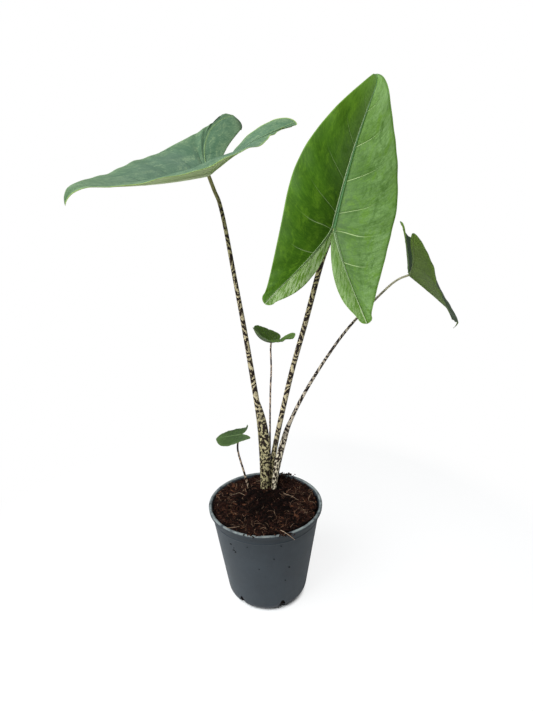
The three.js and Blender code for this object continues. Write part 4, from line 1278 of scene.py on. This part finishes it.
def lay_twigs():
    """The bits of twig: points, faces and each point's tone."""
    points, faces = [], []
    for path, radius in TWIGS:
        spots, sides = strand_arrays(path, radius)
        faces += [[k + len(points) for k in face] for face in sides]
        points += spots.tolist()
    return points, faces, np.full(len(points), 0.7)


def soil_material():
    """Moist bark and coir: near black, with red-brown and tan grains."""
    s = Shader("potting_mix", specular_ior_level=0.05)
    point = s.place()
    grain = s.cells(point, 1.9, "F1", "Color")
    tone = s.split(grain)[0]
    coarse = s.noise(point, 9.0, 3.0, 0.6)
    fine = s.noise(point, 0.6, 3.0, 0.7)
    colour = s.mix(tone.rise(0.5, 0.95), (0.0014, 0.0007, 0.0005), (0.010, 0.0032, 0.0022))
    colour = s.mix(fine.rise(0.55, 0.75) * 0.7, colour, (0.040, 0.015, 0.009))
    colour = s.mix(coarse.rise(0.62, 0.4) * 0.6, colour, (0.0018, 0.0009, 0.0007))
    return s.finish(colour, 0.75 + fine * 0.2, s.bump(fine + coarse * 0.5, 0.5))


def grain_material(name, dark, mid, pale):
    """Bark or fibre: each piece its own tone from dark to pale, with fine grain."""
    s = Shader(name, specular_ior_level=0.08)
    tone = s.node("ShaderNodeAttribute", {"attribute_name": "tone"}, out="Fac")
    fine = s.noise(s.place(), 0.7, 3.0, 0.7)
    colour = s.ramp(tone, [(0.0, dark), (0.55, mid), (0.9, pale), (1.0, pale)])
    colour = s.mix(fine.rise(0.35, 0.7) * 0.5, colour, dark)
    return s.finish(colour, 0.65 + fine * 0.25, s.bump(fine, 0.15))


# ---------------------------------------------------------------- light and floor

# name, place in m, power in W, width and height in m, colour
LIGHTS = [
    ("sky_behind", (-0.25, 1.1, 1.7), 10.0, (1.8, 1.2), (0.84, 0.93, 1.0)),
    ("window_front", (-0.30, -0.97, 1.63), 21.0, (0.8, 0.7), (0.93, 0.98, 1.0)),
    ("window_left", (-0.95, -0.72, 1.30), 32.0, (1.0, 1.0), (0.97, 0.99, 1.0)),
]
AIM = (0.02, 0.02, 0.27)  # what the lights face, in m
ROOM = [(0.0, (0.08, 0.08, 0.08)), (0.35, (0.12, 0.125, 0.13))]  # sine of the height, and the light there
WHITE = (1, 1, 1)


def make_light(name, place, power, size, colour):
    """A softbox that faces the plant."""
    data = bpy.data.lights.new(name, "AREA")
    data.shape = "RECTANGLE"
    data.size, data.size_y = size
    data.energy = power
    data.color = colour
    back = unit(np.array(place) - np.array(AIM))
    side = unit(np.cross(np.array([0.0, 0.0, 1.0]), back))
    stand(add_object(name, data), (side, np.cross(back, side), back), place)


def make_floor():
    """A white floor that turns into plain light away from the pot, so that no horizon shows."""
    reach = 12.0
    mesh = bpy.data.meshes.new("floor")
    mesh.from_pydata([(-reach, -reach, 0), (reach, -reach, 0), (reach, reach, 0), (-reach, reach, 0)], [],
                     [(0, 1, 2, 3)])
    floor = add_object("floor", mesh)
    s = Shader("floor_white", roughness=0.9, base_color=(0.88, 0.88, 0.88, 1.0))
    x, y = s.split(s.place())[:2]
    seen = s.node("ShaderNodeLightPath", out="Is Camera Ray")
    distance = (x * x + y * y) ** 0.5
    away = distance.rise(120.0, 420.0).maths("MAXIMUM", seen * 0.85) * distance.rise(36.0, 43.0)
    light = s.node("ShaderNodeEmission", {}, {"Color": WHITE, "Strength": seen * 0.55 + 0.45})
    shade = Signal(s, s.surface.outputs[0])
    mixed = s.node("ShaderNodeMixShader", {}, {"Fac": away, "Shader": shade, "Shader_001": light})
    s.tree.links.new(mixed.socket, s.tree.nodes["Material Output"].inputs["Surface"])
    mesh.materials.append(s.owner)


def make_world(scene):
    """White where the camera looks past the plant, and a dim room for the light that falls on it."""
    s = Shader("studio", world=True, strength=1.0)
    height = s.split(s.node("ShaderNodeTexCoord", out="Generated"))[2]
    seen = s.node("ShaderNodeLightPath", out="Is Camera Ray")
    light = s.mix(seen, s.ramp(height, ROOM), WHITE)
    s.tree.links.new(light.socket, s.surface.inputs["Color"])
    scene.world = s.owner


# ---------------------------------------------------------------- operators

class PLANT_OT_stage(bpy.types.Operator):
    """Sets the camera, the pale floor and the soft lights"""
    bl_idname = "plant.stage"
    bl_label = "Set the stage"

    def execute(self, context):
        scene = context.scene
        settings = scene.plant_stage
        turn, tilt, lean = settings.camera_turn
        level = np.array([math.cos(turn), -math.sin(turn), 0.0])
        ahead = np.array([math.sin(turn) * math.cos(tilt), math.cos(turn) * math.cos(tilt), -math.sin(tilt)])
        right, up = rolled(level, np.cross(level, ahead), lean)
        data = bpy.data.cameras.new("camera")
        data.lens = settings.lens
        data.sensor_width = 36.0
        data.clip_start = 0.01
        data.clip_end = 50.0
        scene.camera = add_object("camera", data)
        stand(scene.camera, (right, up, -ahead), settings.camera_place)
        scene.view_settings.view_transform = "Standard"
        scene.view_settings.look = "None"
        make_floor()
        make_world(scene)
        for light in LIGHTS:
            make_light(*light)
        return {"FINISHED"}


class PLANT_OT_pot(bpy.types.Operator):
    """Makes the nursery pot with its lip, moulded ring and drain slots"""
    bl_idname = "plant.pot"
    bl_label = "Make the pot"

    def execute(self, context):
        settings = context.scene.plant_pot
        points, faces = lathe(rounded(pot_outline(settings)), 192)
        plastic = pot_material(settings)
        pot = make_piece("nursery_pot", points, faces, plastic, replaces=("pot",), sharp=35)
        cut_drains(pot)
        finish_piece(pot, plastic, sharp=35)
        return {"FINISHED"}


class PLANT_OT_soil(bpy.types.Operator):
    """Makes the potting mix with its loose bark chips, coir fibres and bits of twig"""
    bl_idname = "plant.soil"
    bl_label = "Make the potting mix"

    def execute(self, context):
        settings = context.scene.plant_soil
        rng = np.random.default_rng(7)
        points, faces = soil_arrays(rng)
        make_piece("potting_mix", points, faces, soil_material(), replaces=("soil",))
        loose = {
            "bark_chips": scatter_chips(rng, settings.chips, context.scene.plant_pot.height / MM),
            "coir_fibres": scatter_fibres(rng, settings.fibres),
            "loose_twigs": lay_twigs(),
        }
        for name, (points, faces, tone) in loose.items():
            material = grain_material(name, *GRAINS[name])
            sharp = 20 if name == "bark_chips" else None
            make_piece(name, points, faces, material, {"tone": tone}, weld=0, sharp=sharp)
        return {"FINISHED"}


class PLANT_OT_corm(bpy.types.Operator):
    """Gives the corm its papery brown skin"""
    bl_idname = "plant.corm"
    bl_label = "Finish the corm"

    def execute(self, context):
        s = Shader("corm_skin", specular_ior_level=0.3)
        point = s.place()
        rings = s.node("ShaderNodeTexWave", {"bands_direction": "Z"},
                       {"Vector": point, "Scale": 0.12, "Distortion": 3.0, "Detail": 3.0}, out="Fac")
        patches = s.noise(point, 5.0, 3.0, 0.6)
        colour = s.mix(rings * 0.6 + patches * 0.4, (0.07, 0.035, 0.02), (0.26, 0.15, 0.09))
        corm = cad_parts["corm"]
        material = s.finish(colour, 0.7 + patches * 0.2, s.bump(rings + patches, 0.4))
        corm.data.materials.clear()
        corm.data.materials.append(material)
        return {"FINISHED"}


class PLANT_OT_stalks(bpy.types.Operator):
    """Makes the zebra-banded leaf stalks with their sheaths"""
    bl_idname = "plant.stalks"
    bl_label = "Make the stalks"

    def execute(self, context):
        settings = context.scene.plant_stalks
        cream = settings.cream
        pink = (0.66, 0.56, 0.43)
        tan = (0.56, 0.42, 0.30)
        finishes = {
            "middle": stalk_material("stalk_olive", settings, cream, (0.33, 0.31, 0.10), 2.6, fine_top=0.12),
            "left": stalk_material("stalk_cream", settings, cream, (0.36, 0.36, 0.13), 2.8, plain_top=0.1),
            "right": stalk_material("stalk_pink", settings, pink, (0.62, 0.60, 0.40), 2.0, plain_top=0.2),
            "small_back": stalk_material("stalk_thin", settings, tan, tan, 1.0),
        }
        finishes["small_left"] = finishes["small_back"]
        for name, stalk in STALKS.items():
            rings, sides = (360, 48) if stalk["sheath"] else (160, 20)
            points, faces, round_it, finish = stalk_arrays(stalk, rings, sides)
            make_piece(f"banded_stalk_{name}", points, faces, finishes[name],
                       {"stalk_round": round_it, "stalk_finish": finish}, (f"stalk_{name}",), weld=1e-7)
        return {"FINISHED"}


class PLANT_OT_blades(bpy.types.Operator):
    """Makes the arrow-shaped leaf blades"""
    bl_idname = "plant.blades"
    bl_label = "Make the blades"

    def execute(self, context):
        settings = context.scene.plant_blades
        for name in LEAVES:
            small = name.startswith("small")
            material = leaf_material(f"leaf_{name}", LOOKS[name])
            rows, columns = (96, 24) if small else (192, 48)
            points, faces, veins, blade = blade_arrays(name, rows, columns, settings)
            make_piece(f"leaf_{name}", points, faces, material,
                       {"veins": veins, "blade": blade}, (f"blade_{name}",), weld=2e-6)
        return {"FINISHED"}


class PLANT_PT_panel(bpy.types.Panel):
    """The plant's settings and steps"""
    bl_label = "Potted aroid"
    bl_idname = "PLANT_PT_panel"
    bl_space_type = "VIEW_3D"
    bl_region_type = "UI"
    bl_category = "Plant"

    def draw(self, context):
        for group in GROUPS:
            settings = getattr(context.scene, group)
            for key in settings.__annotations__:
                self.layout.prop(settings, key)
        for step in STEPS:
            self.layout.operator(step.bl_idname)


GROUPS = {"plant_pot": PotSettings, "plant_blades": BladeSettings, "plant_stalks": StalkSettings,
          "plant_soil": SoilSettings, "plant_stage": StageSettings}
STEPS = [PLANT_OT_stage, PLANT_OT_pot, PLANT_OT_soil, PLANT_OT_corm, PLANT_OT_stalks, PLANT_OT_blades]


def register():
    for kind in (*GROUPS.values(), *STEPS, PLANT_PT_panel):
        bpy.utils.register_class(kind)
    for key, kind in GROUPS.items():
        setattr(bpy.types.Scene, key, bpy.props.PointerProperty(type=kind))


def unregister():
    for key in GROUPS:
        delattr(bpy.types.Scene, key)
    for kind in reversed((*GROUPS.values(), *STEPS, PLANT_PT_panel)):
        bpy.utils.unregister_class(kind)


def main():
    """Makes everything in order."""
    register()
    bpy.ops.plant.stage()
    bpy.ops.plant.pot()
    bpy.ops.plant.soil()
    bpy.ops.plant.corm()
    bpy.ops.plant.stalks()
    bpy.ops.plant.blades()


if __name__ == "__main__":
    main()
